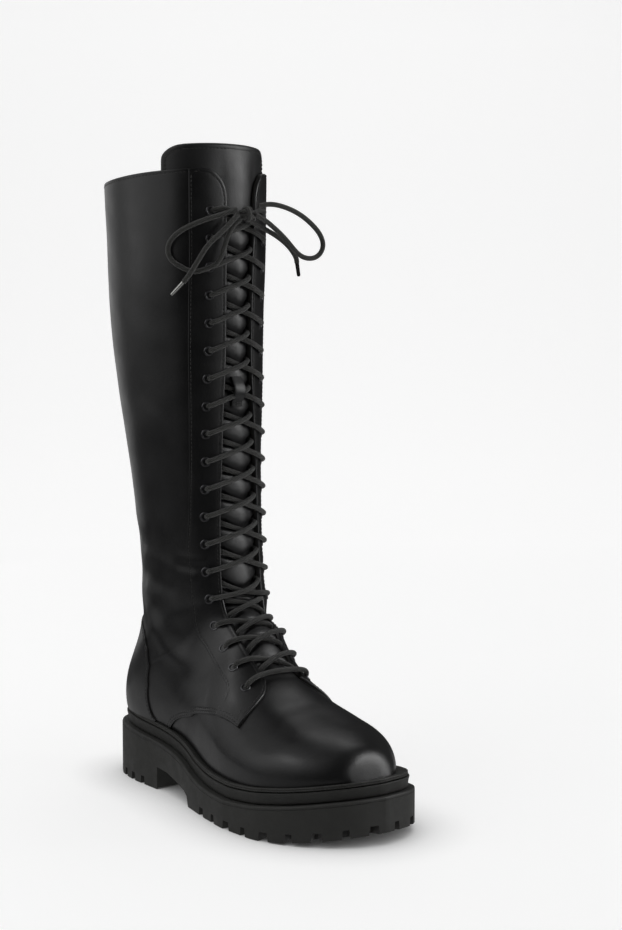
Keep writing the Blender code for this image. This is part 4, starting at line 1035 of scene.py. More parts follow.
def rows(*spans, collar=False):
    """Stations from (start, end, step) spans, with closer rows under the collar's edge if asked."""
    parts = [np.arange(start, end - step * 0.4, step) for start, end, step in spans]
    if collar:
        parts.append(TOP_ROW - EDGE_LINES[::-1] / ROW_HEIGHT)
    else:
        parts.append([spans[-1][1]])
    return np.unique(np.round(np.concatenate(parts), 5))


SHAFT_SPAN = (13.0, 19.10, 0.055)
FLAP_STATION = 6.7              # up to here the quarters end under the facings' flaps
FLAP_UNDERLAP = (-50, 48)       # at these angles, lateral and medial
VAMP_UNDERLAP = 14              # degrees of the vamp's wings under the quarters
FACING_UNDERLAP = 9.0           # mm of the quarters under the facings


def quarter_low(stations, side):
    """The quarter's lower edge: the vamp's seam, then the welt and the back."""
    table, inner_of = (VAMP_SEAM, np.maximum) if side < 0 else (VAMP_SEAM_MEDIAL, np.minimum)
    foot = welt_angle(stations, side)
    return np.where(stations < table[-1, 0], inner_of(along_table(table, stations), foot), foot)


def facing_front(stations, side):
    """The facing's front edge: round the flap's foot, then up the throat to its rounded corner."""
    lateral, medial = throat_edges(stations)
    table, edge = (FLAP_FRONT_LATERAL, lateral) if side < 0 else (FLAP_FRONT_MEDIAL, medial)
    return np.where(stations < table[-1, 0], along_table(table, stations), edge)


ZIP_FOOT = 8.62
ZIP_SEAM_FOOT = (8.22, 98.0)    # where the closed seam below the zip meets the vamp


def zip_edge(stations, side):
    """One edge of the zip's slot; below its foot, the closed seam that runs down to the vamp."""
    line = zip_angle(stations)
    slot = beside(stations, line, side * ZIP_SLOT / 2)
    seam = np.interp(stations, (ZIP_SEAM_FOOT[0], ZIP_FOOT), (ZIP_SEAM_FOOT[1], float(zip_angle(ZIP_FOOT))))
    share = np.clip((stations - ZIP_FOOT + 0.1) / 0.25, 0, 1)
    return seam * (1 - share) + slot * share


def make_vamp():
    """The vamp round the toe, and its two wings under the quarters."""
    stations = rows((0.0, 1.0, 0.035), (1.0, 5.0, 0.1), (5.0, 5.95, 0.08))
    panel("vamp", stations, welt_angle(stations, -1), welt_angle(stations, 1), 84, VAMP_LIFT,
          -LEATHER, LEATHER_SET, joined=("low", "high"))
    stations = rows((5.95, 8.5, 0.08))
    for (side, name), table in zip(SIDES, (VAMP_SEAM, VAMP_SEAM_MEDIAL)):
        under = along_table(table, stations) - side * VAMP_UNDERLAP
        low, high = low_first(side, welt_angle(stations, side), under)
        panel("vamp_wing_" + name, stations, low, high, 26, VAMP_LIFT, -LEATHER, LEATHER_SET,
              joined=("low", "high"))


def quarter(name, stations, low, high, columns, stitched):
    """One piece of the quarters, stitched along its collar and some other edges."""
    return panel("quarter_" + name, stations, low, high, columns, QUARTER_LIFT, -LEATHER - 0.1, LEATHER_SET,
                 radius=0.55, stitched={"top": (COLLAR_STITCH,), **stitched})


def make_quarters():
    """The lateral quarter, and the medial one in two pieces beside the zip."""
    stations = rows((6.3, 8.1, 0.06), (8.1, 8.54, 0.02), (8.54, 13.0, 0.08), SHAFT_SPAN, collar=True)
    under = beside(stations, along_table(FACING_REAR_LATERAL, stations), FACING_UNDERLAP)
    quarter("lateral", stations, quarter_low(stations, -1),
            np.where(stations < FLAP_STATION, FLAP_UNDERLAP[0], under), 64, {"low": SEAM_STITCH})
    under = beside(stations, along_table(FACING_REAR_MEDIAL, stations), -FACING_UNDERLAP)
    high = np.where(stations < ZIP_SEAM_FOOT[0], quarter_low(stations, 1), zip_edge(stations, -1))
    quarter("medial_front", stations, np.where(stations < FLAP_STATION, FLAP_UNDERLAP[1], under), high,
            30, {"high": (ZIP_STITCH,)})
    stations = rows((ZIP_SEAM_FOOT[0], 8.66, 0.02), (8.66, 13.0, 0.08), SHAFT_SPAN, collar=True)
    quarter("medial_rear", stations, zip_edge(stations, 1), quarter_low(stations, 1), 44,
            {"low": (ZIP_STITCH,)})


def make_facings():
    """The strips that carry the eyelets, each with its flap at the foot."""
    upward = ((5.5, 5.95, 0.014), (5.95, 6.9, 0.04), (6.9, 13.0, 0.08), SHAFT_SPAN)
    for (side, name), table, spans, columns in zip(SIDES, (FACING_REAR_LATERAL, FACING_REAR_MEDIAL),
                                                   (upward, ((5.42, 5.5, 0.014), *upward)), (22, 20)):
        stations = rows(*spans, collar=True)
        low, high = low_first(side, along_table(table, stations), facing_front(stations, side))
        rear, front = low_first(side, "low", "high")
        panel("facing_" + name, stations, low, high, columns, FACING_LIFT, -LEATHER + 0.2, LEATHER_SET,
              radius={rear: 0.5, front: 1.1, "top": 0.9},
              stitched={rear: (FACING_REAR_STITCH,), front: (FACING_FRONT_STITCH,),
                        "top": (COLLAR_STITCH,)})


def make_counter():
    """The heel counter, in two halves that are merged on the back line."""
    stations = rows((8.98, 11.4, 0.07), (11.4, 12.1, 0.035), (12.1, 12.43, 0.012))
    edge = along_table(COUNTER_EDGE, stations)
    halves = []
    for side, name in SIDES:
        foot = welt_angle(stations, side)
        low, high = low_first(side, foot, side * np.minimum(edge, np.abs(foot) - 0.4))
        back, front = low_first(side, "low", "high")
        halves.append(panel("counter_" + name, stations, low, high, 40, COUNTER_LIFT, 0.0, LEATHER_SET,
                            radius=0.7, joined=(back,), stitched={front: (COUNTER_STITCH,)}))
    return weld("heel_counter_visual", halves)


make_vamp()
make_quarters()
make_facings()
make_counter()
belongs(PIECES["quarter_lateral"], "black_leather", "upper")
belongs(PIECES["heel_counter_visual"], "black_leather", "heel_counter")
for each in ("vamp", "vamp_wing_lateral", "vamp_wing_medial", "quarter_medial_front",
             "quarter_medial_rear", "facing_lateral", "facing_medial"):
    belongs(PIECES[each], "black_leather")


# --- eyelets and the lace's path ----------------------------------------------------------------
def facing_angles(stations, side):
    """The eyelets' line on one facing (side -1 lateral, 1 medial), and the throat's edge there."""
    edge = throat_plain(stations)[0 if side < 0 else 1]
    inset = np.interp(stations, EYELET_INSETS[:, 0], EYELET_INSETS[:, 1 if side < 0 else 2])
    return beside(stations, edge, side * inset), edge


def eyelet_line(side):
    """Stations that space one facing's eyelets evenly, with the angles of eyelet and edge."""
    stations = np.linspace(*EYELET_STATIONS, 160)
    angles, _ = facing_angles(stations, side)
    points = last_point(stations, angles)
    reach = walked(points)
    chosen = np.interp(np.linspace(0, reach[-1], EYELETS_A_SIDE), reach, stations)
    return (chosen, *facing_angles(chosen, side))


EYELETS = {side: eyelet_line(side) for side, _ in SIDES}
UNDER_HOLE = -3.3               # the lace's height under each eyelet
FROM_UNDER = 4                  # strands that start below this eyelet come from under its facing
TO_ABOVE = 3                    # and those below this one end over the other facing
CROSSING_LIFTS = (2.0, -1.0)    # at the throat's middle: strands from the lateral side lie on top


def half_strand(eyelet, edge, toward, above, middle_lift):
    """Keys (angle, lift) of half a strand from its eyelet to the throat, over or under the facing;
    the second list lies against the tongue.  toward is the angle of 1 mm to the throat's middle."""
    resting = FACING_LIFT + LACE_RADIUS
    if above:
        return ([(eyelet + 0.5 * toward, UNDER_HOLE), (eyelet + 0.9 * toward, -0.8),
                 (eyelet + 1.9 * toward, resting - 1.2), (eyelet + 3.6 * toward, resting + 0.4),
                 ((eyelet + 5.6 * toward + edge - 1.8 * toward) / 2, resting + 0.3),
                 (edge - 1.8 * toward, resting)], [(edge + 1.4 * toward, resting - 0.6)])
    return ([], [(eyelet + 2.4 * toward, -4.0), (edge - 2.6 * toward, -3.9), (edge - 1.0 * toward, -3.4),
                 (edge + 0.6 * toward, -1.6), (edge + 2.6 * toward, middle_lift * 0.3 - 0.4)])


def strand(side, start):
    """Keys (station, angle, lift) of one strand: the whole of it, and its part on the tongue."""
    station, eyelet, edge = (float(column[start]) for column in EYELETS[side])
    station_to, eyelet_to, edge_to = (float(column[start + 1]) for column in EYELETS[-side])
    middle = (edge + edge_to) / 2
    middle_lift = CROSSING_LIFTS[0 if side < 0 else 1]
    toward = -side / float(arc_per_degree(station, edge))
    first, rising = half_strand(eyelet, edge, toward, start >= FROM_UNDER, middle_lift)
    toward = side / float(arc_per_degree(station_to, edge_to))
    last, falling = half_strand(eyelet_to, edge_to, toward, start < TO_ABOVE, middle_lift)
    span = eyelet_to - eyelet
    between = rising + [(middle, middle_lift)] + falling[::-1]
    return [[(station + (station_to - station) * (angle - eyelet) / span, angle, lift)
             for angle, lift in keys] for keys in (first + between + last[::-1], between)]


def lace_points(keys):
    """Keys of (station, angle, lift) as points in mm."""
    keys = np.array(keys)
    return form(keys[:, 0], keys[:, 1], keys[:, 2])


KNOT_STATION = 18.72


def knot_centre():
    """The middle of the knot, in front of the throat."""
    middle = float(sum(throat_plain(np.array([KNOT_STATION]))).item() / 2)
    place = last_point(KNOT_STATION, middle) + 7.5 * last_normal(KNOT_STATION, middle)
    return place + (-2.6, 0.0, -7.6)


KNOT = knot_centre()


def lace_route(first_side):
    """One whole lace, from under a bottom eyelet up to the knot."""
    station, eyelet, _ = (float(column[0]) for column in EYELETS[first_side])
    keys = [(station, eyelet - 0.6 * first_side, UNDER_HOLE)]
    side = first_side
    for number in range(EYELETS_A_SIDE - 1):
        keys += strand(side, number)[0]
        side = -side
    station, eyelet, edge = (float(column[-1]) for column in EYELETS[side])
    toward = -side / float(arc_per_degree(station, edge))
    keys += [(station, eyelet + 0.5 * toward, UNDER_HOLE), (station, eyelet + 0.9 * toward, -0.8),
             (station + 0.01, eyelet + 1.9 * toward, 1.6), (station + 0.02, eyelet + 3.8 * toward, 3.2),
             (station + 0.03, edge - 2.0 * toward, 3.8)]
    points = lace_points(keys)
    end = KNOT + np.array([side * 2.6, 1.6, -0.8])
    inside = KNOT + np.array([-side * 1.0, 0.6, 0.4])
    return np.vstack([points, end, inside])


def bottom_bar():
    """The straight bar over both facings between the lowest eyelets."""
    keys = []
    for side in (-1, 1):
        station, eyelet, edge = (float(column[0]) for column in EYELETS[side])
        toward = -side / float(arc_per_degree(station, edge))
        half = [(station, eyelet + 0.2 * toward, UNDER_HOLE), (station, eyelet + 0.7 * toward, -0.8),
                (station, eyelet + 1.7 * toward, 2.0), (station, eyelet + 3.6 * toward, 3.7),
                (station, edge - 1.0 * toward, 3.4)]
        keys += half if side < 0 else half[::-1]
    return lace_points(keys)


def make_lace():
    """The crossed strands of both laces and the bar below them, as one mesh."""
    lace = tubes("lace", [lace_route(-1), lace_route(1), bottom_bar()], LACE_RADIUS, [BRAID],
                 sides=12, spacing=1.15)
    return belongs(lace, "lace_cord", "lace_crossings")


EYELET_PROFILE = ((1.95, -1.6), (2.0, -0.6), (2.1, 0.15), (2.35, 0.50), (2.75, 0.66), (3.15, 0.60),
                  (3.45, 0.40), (3.62, 0.12), (3.65, -0.2))


def make_eyelets():
    """Rolled metal rings, each with a near-black barrel under it: painted shade for the inside of the hole.
    """
    for side, name in SIDES:
        stations, angles, _ = EYELETS[side]
        places = form(stations, angles, FACING_LIFT)
        out = last_normal(stations, angles)
        across = unit(np.cross((0.0, 0.0, 1.0), out))
        axes = np.stack([across, np.cross(out, across), out], -1)
        template, faces = lathe(EYELET_PROFILE, 24)
        rings = copies("eyelets_" + name, template, faces, places, axes, [GUNMETAL], sharp=70)
        nodes = [f"eyelet_{name}_{number:02d}" for number in range(1, EYELETS_A_SIDE + 1)]
        belongs(rings, "black_metal", *nodes)
        # barrels that carry the painted shade inside each hole
        template, faces = lathe(((2.08, -0.2), (1.95, -1.9), (0.05, -1.9)), 16)
        holes = copies("eyelet_hole_shade_" + name, template, faces, places, axes, [SHADE_IN_HOLES], sharp=30)
        belongs(holes, "black_metal")


make_lace()
make_eyelets()


# --- tongue and lace keeper ---------------------------------------------------------------------
TONGUE_LIFT = -2.75
TONGUE_DEPTH = 5.0
TONGUE_TOP = 19.56
TONGUE_CORNER = (20.0, 10.0)    # its rounded top corners: across and down


def throat_middle(stations):
    """The angle of the throat's middle at each station, and half its width in degrees."""
    lateral, medial = throat_plain(stations)
    return (lateral + medial) / 2, (medial - lateral) / 2


def tongue_shape(stations, angles, bare):
    """A crown between the facings, soft pillows between the strands, and a groove under each."""
    line = stations.mean(axis=1)
    middle, half = throat_middle(line)
    across = (angles - middle[:, None]) / half[:, None]
    height = 1.5 * np.clip(1 - (across / 1.15) ** 2, 0, None)
    lateral = EYELETS[-1][0]
    medial = EYELETS[1][0]
    crossing = (lateral[:-1] + lateral[1:] + medial[:-1] + medial[1:]) / 4
    phase = np.interp(line, crossing, np.arange(len(crossing)))
    pillow = 0.5 - 0.5 * np.cos(2 * math.pi * phase)
    height += (0.9 * pillow)[:, None] * np.exp(-(across / 0.75) ** 2)
    height *= np.clip((TONGUE_TOP - line) / 0.5, 0, 1)[:, None]
    for side in (-1, 1):
        for number in range(EYELETS_A_SIDE - 1):
            depth_from = np.array(strand(side, number)[1])
            route = depth_from[:, :2]
            ends = last_point(route[:, 0], route[:, 1])
            near = np.all((bare > ends.min(0) - 9) & (bare < ends.max(0) + 9), axis=-1)
            if not near.any():
                continue
            gap, share = distance_to(bare[near], route)
            wanted = np.interp(share * (len(depth_from) - 1), np.arange(len(depth_from)),
                               depth_from[:, 2]) - LACE_RADIUS - TONGUE_LIFT + 0.35
            over = np.clip(height[near] - wanted, 0, 4.2)
            height[near] -= over * np.exp(-(gap / 3.3) ** 4)
    return height


def make_tongue():
    """The padded tongue, with rounded corners at its top."""
    stations = rows((5.35, 6.2, 0.05), (6.2, 13.0, 0.09), (13.0, 19.42, 0.045),
                    (19.42, TONGUE_TOP, 0.007))
    middle, _ = throat_middle(stations)
    across, down = TONGUE_CORNER
    fall = np.clip((TONGUE_TOP - stations) * ROW_HEIGHT / down, 0, 1)
    corner = across * (1 - np.sqrt(np.clip(1 - (1 - fall) ** 2, 0, 1)))
    reach = [np.interp(stations, TONGUE_ROWS[:, 0], TONGUE_ROWS[:, column]) - corner for column in (1, 2)]
    low = beside(stations, middle, -reach[0])
    high = beside(stations, middle, reach[1])
    tongue = panel("tongue_visual", stations, low, high, 46, TONGUE_LIFT, TONGUE_LIFT - TONGUE_DEPTH,
                   TONGUE_SET, radius=1.9, outer_shape=tongue_shape,
                   stitched={edge: (TONGUE_STITCH,) for edge in ("low", "high", "top")})
    upper = stations > 18.9
    stitch_route(np.concatenate([stations[upper], stations[upper][::-1]]),
                 np.concatenate([low[upper], high[upper][::-1]]), -TONGUE_STITCH, TONGUE_LIFT + 0.05)
    return belongs(tongue, "tongue_leather", *(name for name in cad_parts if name.startswith("tongue")))


make_tongue()


def make_keeper():
    """The leather loop on the tongue: a flat strap arched over one crossing, with its two rows of
    stitches below."""
    line = float(EYELETS[-1][0][11:13].mean())
    run = float(np.linalg.norm(last_point(line + 0.5, 0.0) - last_point(line - 0.5, 0.0)))
    rise = np.array([-10.5, -8.5, -6.5, -4.5, -2.0, 0.8, 3.8, 6.8, 9.6, 11.4])
    lift = np.array([-0.6, -0.3, 0.3, 1.9, 3.6, 4.2, 3.8, 2.4, 0.5, -0.7])
    arch = Spline(rise, lift)
    fine = np.linspace(rise[0], rise[-1], 60)
    stations = line + fine / run
    heights = arch(fine)
    middle, _ = throat_middle(stations)
    across = np.array([-4.2, -4.1, -3.8, -2.8, -1.2, 1.2, 2.8, 3.8, 4.1, 4.2])
    round_edge = np.array([-0.6, -0.2, 0.0, 0.05, 0.1, 0.1, 0.05, 0.0, -0.2, -0.6])
    angles = middle[:, None] + (across - 3.0) / arc_per_degree(stations, middle)[:, None]
    over = form(stations[:, None], angles, heights[:, None] + 1.3 + round_edge)
    under = form(stations[:, None], angles, heights[:, None] - round_edge * 0.3)
    keeper = finished("lace_keeper_visual", np.concatenate([over.reshape(-1, 3), under.reshape(-1, 3)]),
                      sheet_faces(over.shape[:2])[0], [TONGUE_HIDE])
    for down in (-7.4, -9.2):
        station = line + down / run
        angles = throat_middle(np.array([station]))[0] + (np.linspace(-3.1, 3.1, 9) - 3.0) / float(
            arc_per_degree(station, 0.0))
        bar = last_point(np.full(9, station), angles)
        stitch_line(bar, last_normal(np.full(9, station), angles), 0.0,
                    float(arch(down)) + 1.55, pitch=2.0, heights=False)
    return belongs(keeper, "tongue_leather", "lace_keeper")


make_keeper()


# --- stitch rows ----------------------------------------------------------------------------------
def stitch_edges():
    """Every row of stitches on the leather, each beside the edge that it holds."""
    on_facing, on_quarter, on_counter = (lift - STITCH_SINK for lift in (FACING_LIFT, QUARTER_LIFT,
                                                                         COUNTER_LIFT))
    up = np.arange(6.75, TOP_ROW - 0.02, 0.02)
    for side, table in ((-1, FACING_REAR_LATERAL), (1, FACING_REAR_MEDIAL)):
        stitch_route(up, along_table(table, up), side * FACING_REAR_STITCH, on_facing)
    near_corner = TOP_ROW - 0.45
    up = np.concatenate([np.arange(6.05, near_corner, 0.02),
                         np.arange(near_corner, TOP_ROW - 0.02, 0.006)])
    for side, _ in SIDES:
        stitch_route(up, facing_front(up, side), -side * FACING_FRONT_STITCH, on_facing)
    for side, table, first, last in ((-1, FLAP_FRONT_LATERAL, 5.505, 5.9),
                                     (1, FLAP_FRONT_MEDIAL, 5.43, 5.88)):
        low = np.arange(first, last, 0.006)
        stitch_route(low, along_table(table, low), -side * FLAP_STITCH, on_facing, start=2.5)
    for side, _ in SIDES:
        for tack in (((5.77, 49.5), (5.70, 54.0)), ((5.67, 46.5), (5.60, 52.0))):
            stations, angles = np.array(tack).T
            stitch_route(stations, side * angles, 0.0, FACING_LIFT + 0.05, pitch=2.2)
    for side, table in ((-1, VAMP_SEAM[:-1]), (1, VAMP_SEAM_MEDIAL[:-1])):
        for inset in SEAM_STITCH:
            stitch_route(*table[table[:, 0] > 6.43].T, side * inset, on_quarter, start=1.0)
            stitch_route(*table[table[:, 0] < 6.5].T, side * inset, on_facing, start=2.0)
    stations, angles = COUNTER_EDGE[:-1].T
    for side, _ in SIDES:
        stitch_route(stations, side * angles, -side * COUNTER_STITCH, on_counter, start=2.0)
    back = np.arange(12.6, TOP_ROW - 0.06, 0.05)
    for side in (1, -1):
        stitch_route(back, side * 180.0, side * BACK_STITCH, on_quarter)
    up = np.arange(ZIP_FOOT, TOP_ROW - 0.05, 0.04)
    for offset in (ZIP_SLOT / 2 + ZIP_STITCH, -ZIP_SLOT / 2 - ZIP_STITCH, -ZIP_SLOT / 2 - TAPE_STITCH):
        stitch_route(up, zip_angle(up), offset, on_quarter)
    lateral, _ = throat_edges(np.array([TOP_ROW]))
    zip_top = float(zip_angle(TOP_ROW))
    for start, end, lift in ((-180, -31.5, on_quarter), (-31.5, float(lateral[0]) - 1, on_facing),
                             (42.5, zip_top - 3.4, on_quarter), (zip_top + 3.4, 180, on_quarter)):
        stitch_route(TOP_ROW, np.linspace(start, end, 120), -COLLAR_STITCH, lift, start=1.5, end=1.5)
    return belongs(make_stitches("stitches", THREAD), "black_leather")


stitch_edges()


# --- zip ------------------------------------------------------------------------------------------
TAPE_REACH = 9.0                # of the tape, to each side of the zip's line
TEETH_LIFT = -1.35
TEETH_PITCH = 1.0
TEETH_OFFSET = 0.75             # of each row of teeth, to each side of the zip's line
TOOTH_HALF_SIZE = (1.45, 0.36, 0.85)


def make_zip():
    """Woven tape behind the slot, and two rows of interlocked teeth that close it."""
    stations = rows((ZIP_FOOT, 13.0, 0.1), (13.0, 19.12, 0.08))
    low, high = (beside(stations, zip_angle(stations), reach) for reach in (-TAPE_REACH, TAPE_REACH))
    tape = panel("zip_tape_visual", stations, low, high, 6, -LEATHER - 0.35, -LEATHER - 1.2,
                 [ZIP_CLOTH] * 3, radius=0.3)
    belongs(tape, "zip_fabric", "zip_tape")
    fine = np.linspace(8.68, 19.02, 900)
    angles = zip_angle(fine)
    points = form(fine, angles, TEETH_LIFT)
    normals = last_normal(fine, angles)
    reach = walked(points)
    at = np.arange(0.6, reach[-1], TEETH_PITCH)
    places = read_at(at, reach, points)
    out = read_at(at, reach, normals)
    along = unit(read_at(at, reach, np.gradient(points, axis=0)))
    out = unit(out - along * (out * along).sum(1, keepdims=True))
    across = np.cross(along, out)
    side = np.where(np.arange(len(at)) % 2, 1.0, -1.0)[:, None]
    places = places + across * side * TEETH_OFFSET
    corner = np.array([(x, y, z) for z in (-1, 1) for y in (-1, 1) for x in (-1, 1)], float)
    taper = np.where(corner[:, 2:] > 0, 0.8, 1.0)
    template = corner * TOOTH_HALF_SIZE * np.concatenate([taper, taper, np.ones_like(taper)], 1)
    faces = [np.array([(0, 2, 3, 1), (4, 5, 7, 6), (0, 1, 5, 4), (2, 6, 7, 3), (0, 4, 6, 2), (1, 3, 7, 5)])]
    teeth = copies("zip_teeth_visual", template, faces, places, np.stack([across, along, out], -1),
                   [LACQUERED], sharp=30)
    belongs(teeth, "black_metal", "zip_teeth")


def bevelled(piece, width, segments=3, angle=40):
    """Round a piece's hard edges and shade it smooth."""
    change = piece.modifiers.new("edges", "BEVEL")
    change.width = width * MM
    change.segments = segments
    change.limit_method = "ANGLE"
    change.angle_limit = math.radians(angle)
    change.harden_normals = True
    return piece


make_zip()
for each in ("zip_slider", "zip_pull_tab"):
    metal_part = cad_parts[each]
    metal_part.data.materials.clear()
    metal_part.data.materials.append(LACQUERED)
    bevelled(metal_part, 0.35)


# --- bow ------------------------------------------------------------------------------------------
LOOP_LATERAL = (
    (-3.0, 13.1, 423.0), (-12.8, 14.9, 419.5), (-24.7, 19.1, 415.5), (-34.1, 25.5, 411.0),
    (-40.8, 33.5, 405.0), (-43.5, 39.3, 397.0), (-42.4, 39.3, 389.0), (-37.6, 34.6, 383.0),
    (-30.5, 26.6, 379.0), (-23.8, 20.6, 381.0), (-17.7, 16.2, 385.0), (-13.1, 14.6, 395.0),
    (-9.0, 14.6, 405.0), (-5.6, 13.6, 411.0), (0.0, 12.8, 416.0),
)
END_LATERAL = (
    (-3.6, 10.2, 419.5), (-10.1, 10.6, 413.0), (-18.5, 12.2, 405.0), (-26.2, 15.4, 397.0),
    (-32.5, 20.0, 385.0), (-37.0, 25.6, 374.5),
)
LOOP_MEDIAL = (
    (16.6, 13.0, 426.0), (24.4, 11.0, 427.5), (36.8, 9.5, 426.0), (51.0, 9.0, 421.0),
    (63.1, 9.0, 413.5), (71.8, 10.0, 405.0), (73.6, 11.0, 397.5), (69.2, 12.0, 391.5),
    (60.7, 13.0, 390.0), (52.2, 13.5, 393.5), (42.6, 13.5, 402.0), (31.2, 13.0, 410.5),
    (21.0, 12.5, 416.5), (13.0, 12.5, 420.0),
)
END_MEDIAL = (
    (11.0, 16.5, 416.0), (22.5, 18.0, 411.5), (34.1, 19.0, 407.0), (45.5, 19.8, 401.0),
    (52.5, 20.5, 395.5), (57.0, 21.5, 390.5),
)


def from_midline(points):
    """Places measured from the boot's midline."""
    return np.array(points) + (MIDLINE_X, 0, 0)


def bow_cord(name, keys):
    """One free length of the bow, as a tube along its points."""
    line, lengths = even_curve(from_midline(keys), spacing=1.1)
    points, faces, uv = tube(line, lengths, LACE_RADIUS, sides=14)
    made = finished(name, points, faces, [BRAID], uv=uv, sharp=60)
    belongs(made, "lace_cord", name.replace("bow", "lace"))
    return made


AGLET_LENGTH = 14


def make_aglet(name, start, end, finish):
    """A crimped tube round the lace's tip, with a small flare and a rounded end."""
    start, end = from_midline(start), from_midline(end)
    share = np.array([0.0, 0.0, 0.02, 0.06, 0.5, 0.94, 0.99, 1.0, 1.0])
    radius = np.array([1.45, 1.62, 1.68, 1.60, 1.45, 1.38, 1.25, 0.9, 0.3])
    line = start + (end - start) * (share + np.arange(9) * 1e-4)[:, None]
    points, faces, uv = tube(line, share * AGLET_LENGTH, radius, sides=20)
    made = finished(name, points, faces, [finish], uv=uv, sharp=45)
    return belongs(made, "lace_tip", name.replace("_visual", ""))


def make_knot():
    """The knot: a band wrapped over two turns of lace, drawn tight."""
    across = np.array([1.0, 0.0, 0.0])
    up = np.array([0.0, 0.12, 0.99])
    out = np.array([0.0, -0.99, 0.12])
    turn = np.linspace(-0.6, 2 * math.pi * 1.12, 22)
    band = [KNOT + across * (-1.2 + 2.6 * t / 7) + up * 3.9 * math.cos(t) + out * (0.8 + 3.2 * math.sin(t))
            for t in turn]
    upper = [KNOT + across * 4.6 * math.cos(t) + out * 1.7 * math.sin(t) + up * (1.6 - 0.5 * t / 6)
             for t in turn]
    lower = [KNOT + across * 4.4 * math.cos(t + 2) + out * (0.4 + 1.5 * math.sin(t + 2))
             + up * (-2.0 + 0.4 * t / 6) for t in turn]
    knot = tubes("lace_knot_visual", [band, upper, lower], LACE_RADIUS, [BRAID], sides=14, spacing=0.7)
    return belongs(knot, "lace_cord", "lace_knot")


make_knot()
tip_lateral = make_aglet("aglet_lateral_visual", (-37.3, 26.2, 373.6), (-42.5, 37.0, 362.5), BRIGHT)
tip_medial = make_aglet("aglet_medial_visual", (57.5, 21.7, 389.9), (63.5, 26.5, 377.5), LACQUERED)
bow_cord("bow_loop_lateral", LOOP_LATERAL)
bow_cord("bow_loop_medial", LOOP_MEDIAL)
bow_cord("bow_end_lateral", END_LATERAL + ((-38.3, 28.2, 371.5),))
bow_cord("bow_end_medial", END_MEDIAL + ((58.8, 22.7, 387.2),))


# --- sole -----------------------------------------------------------------------------------------
NOTCH_SPACING = 19.5
HEEL_NOTCH_SPACING = 14.4
NOTCH_WIDTHS = (7.0, 5.0)       # by turns round the forefoot; the heel has only the second
NOTCH_DEPTH = 13.0
NOTCH_HEIGHT = 6.0
GROOVE_HEIGHT = 4.5             # of the slots across the tread
WEDGE_START = 4.0               # how far behind its start a cutting wedge begins


def even_shares(count, margin):
    """Shares of the sole's length from a margin to 1 less the margin, closer at both ends."""
    turn = np.linspace(0, math.pi, count)
    return margin + (1 - 2 * margin) * (0.5 - 0.5 * np.cos(turn))


def outline_sides(shares, inset):
    """The lateral and medial edges of the sole at each share, moved in by an inset."""
    sides = []
    for column, sign in ((1, -1), (2, 1)):
        x = MIDLINE_X + sign * unbent(SOLE_WIDTHS[:, 0], SOLE_WIDTHS[:, column], shares)
        y = SOLE_LENGTH / 2 - shares * SOLE_LENGTH
        slope_x = np.gradient(x)
        slope_y = np.gradient(y)
        length = np.hypot(slope_x, slope_y)
        sides.append(np.stack([x + sign * slope_y / length * inset, y - sign * slope_x / length * inset], 1))
    return sides


def sole_layer(name, profile, shares, materials, slots=None):
    """A layer of the sole: rings round the outline, one for each (inset, height function) of the
    profile from its top inner line to its bottom inner line, closed by rungs from side to side."""
    rings = []
    for inset, height in profile:
        lateral, medial = outline_sides(shares, inset)
        walk = np.concatenate([lateral, medial[::-1]])
        rings.append(np.concatenate([walk, height(walk[:, 1])[:, None]], 1))
    count = len(shares)
    size = 2 * count
    faces = [grid_faces(len(rings), size, wrap=True)]
    here = np.arange(count - 1)
    other = size - 1 - here
    rung = np.stack([here, here + 1, other - 1, other], 1)
    faces += [rung[:, ::-1], rung + (len(rings) - 1) * size]
    index = None
    if slots is not None:
        index = np.concatenate([np.repeat(np.asarray(slots), size), np.zeros(2 * len(rung))])
    return finished(name, np.concatenate(rings), faces, materials, index, sharp=45)


def above_top(lift):
    """The height of a line that runs a lift in mm above the outsole's upper edge."""
    return lambda y: sole_top(y) + lift


def above_tread(lift):
    """The height of a line that runs a lift in mm above the tread."""
    return lambda y: sole_underside(y) + lift


def edge_places(start_share, end_share, spacing):
    """Evenly spaced points with inward directions along the outline, round one end of the sole."""
    shares = np.linspace(start_share, end_share, 200)
    lateral, medial = outline_sides(shares, 0.0)
    walk = np.concatenate([lateral, medial[::-1]])
    reach = walked(walk)
    count = int(reach[-1] / spacing)
    at = (reach[-1] - (count - 1) * spacing) / 2 + np.arange(count) * spacing
    here, back, ahead = (read_at(at + step, reach, walk) for step in (0, -2, 2))
    along = unit(ahead - back)
    inward = np.stack([-along[:, 1], along[:, 0]], 1)
    facing = ((walk.mean(axis=0) - here) * inward).sum(1)
    return here, inward * np.where(facing < 0, -1, 1)[:, None]


def wedge(centre, inward, depth, top_width, low_width, low_z, top_z):
    """Corners of a slot: wider below, running in from the sole's edge."""
    side = np.array([-inward[1], inward[0]])
    corners = []
    for z, width in ((low_z, low_width), (top_z, top_width)):
        for reach, sign in ((-WEDGE_START, -1), (depth, -1), (depth, 1), (-WEDGE_START, 1)):
            corners.append((*(centre + inward * reach + side * sign * width / 2), z))
    return np.array(corners)


BOX_FACES = np.array([(0, 3, 2, 1), (4, 5, 6, 7), (0, 1, 5, 4), (1, 2, 6, 5), (2, 3, 7, 6), (3, 0, 4, 7)])


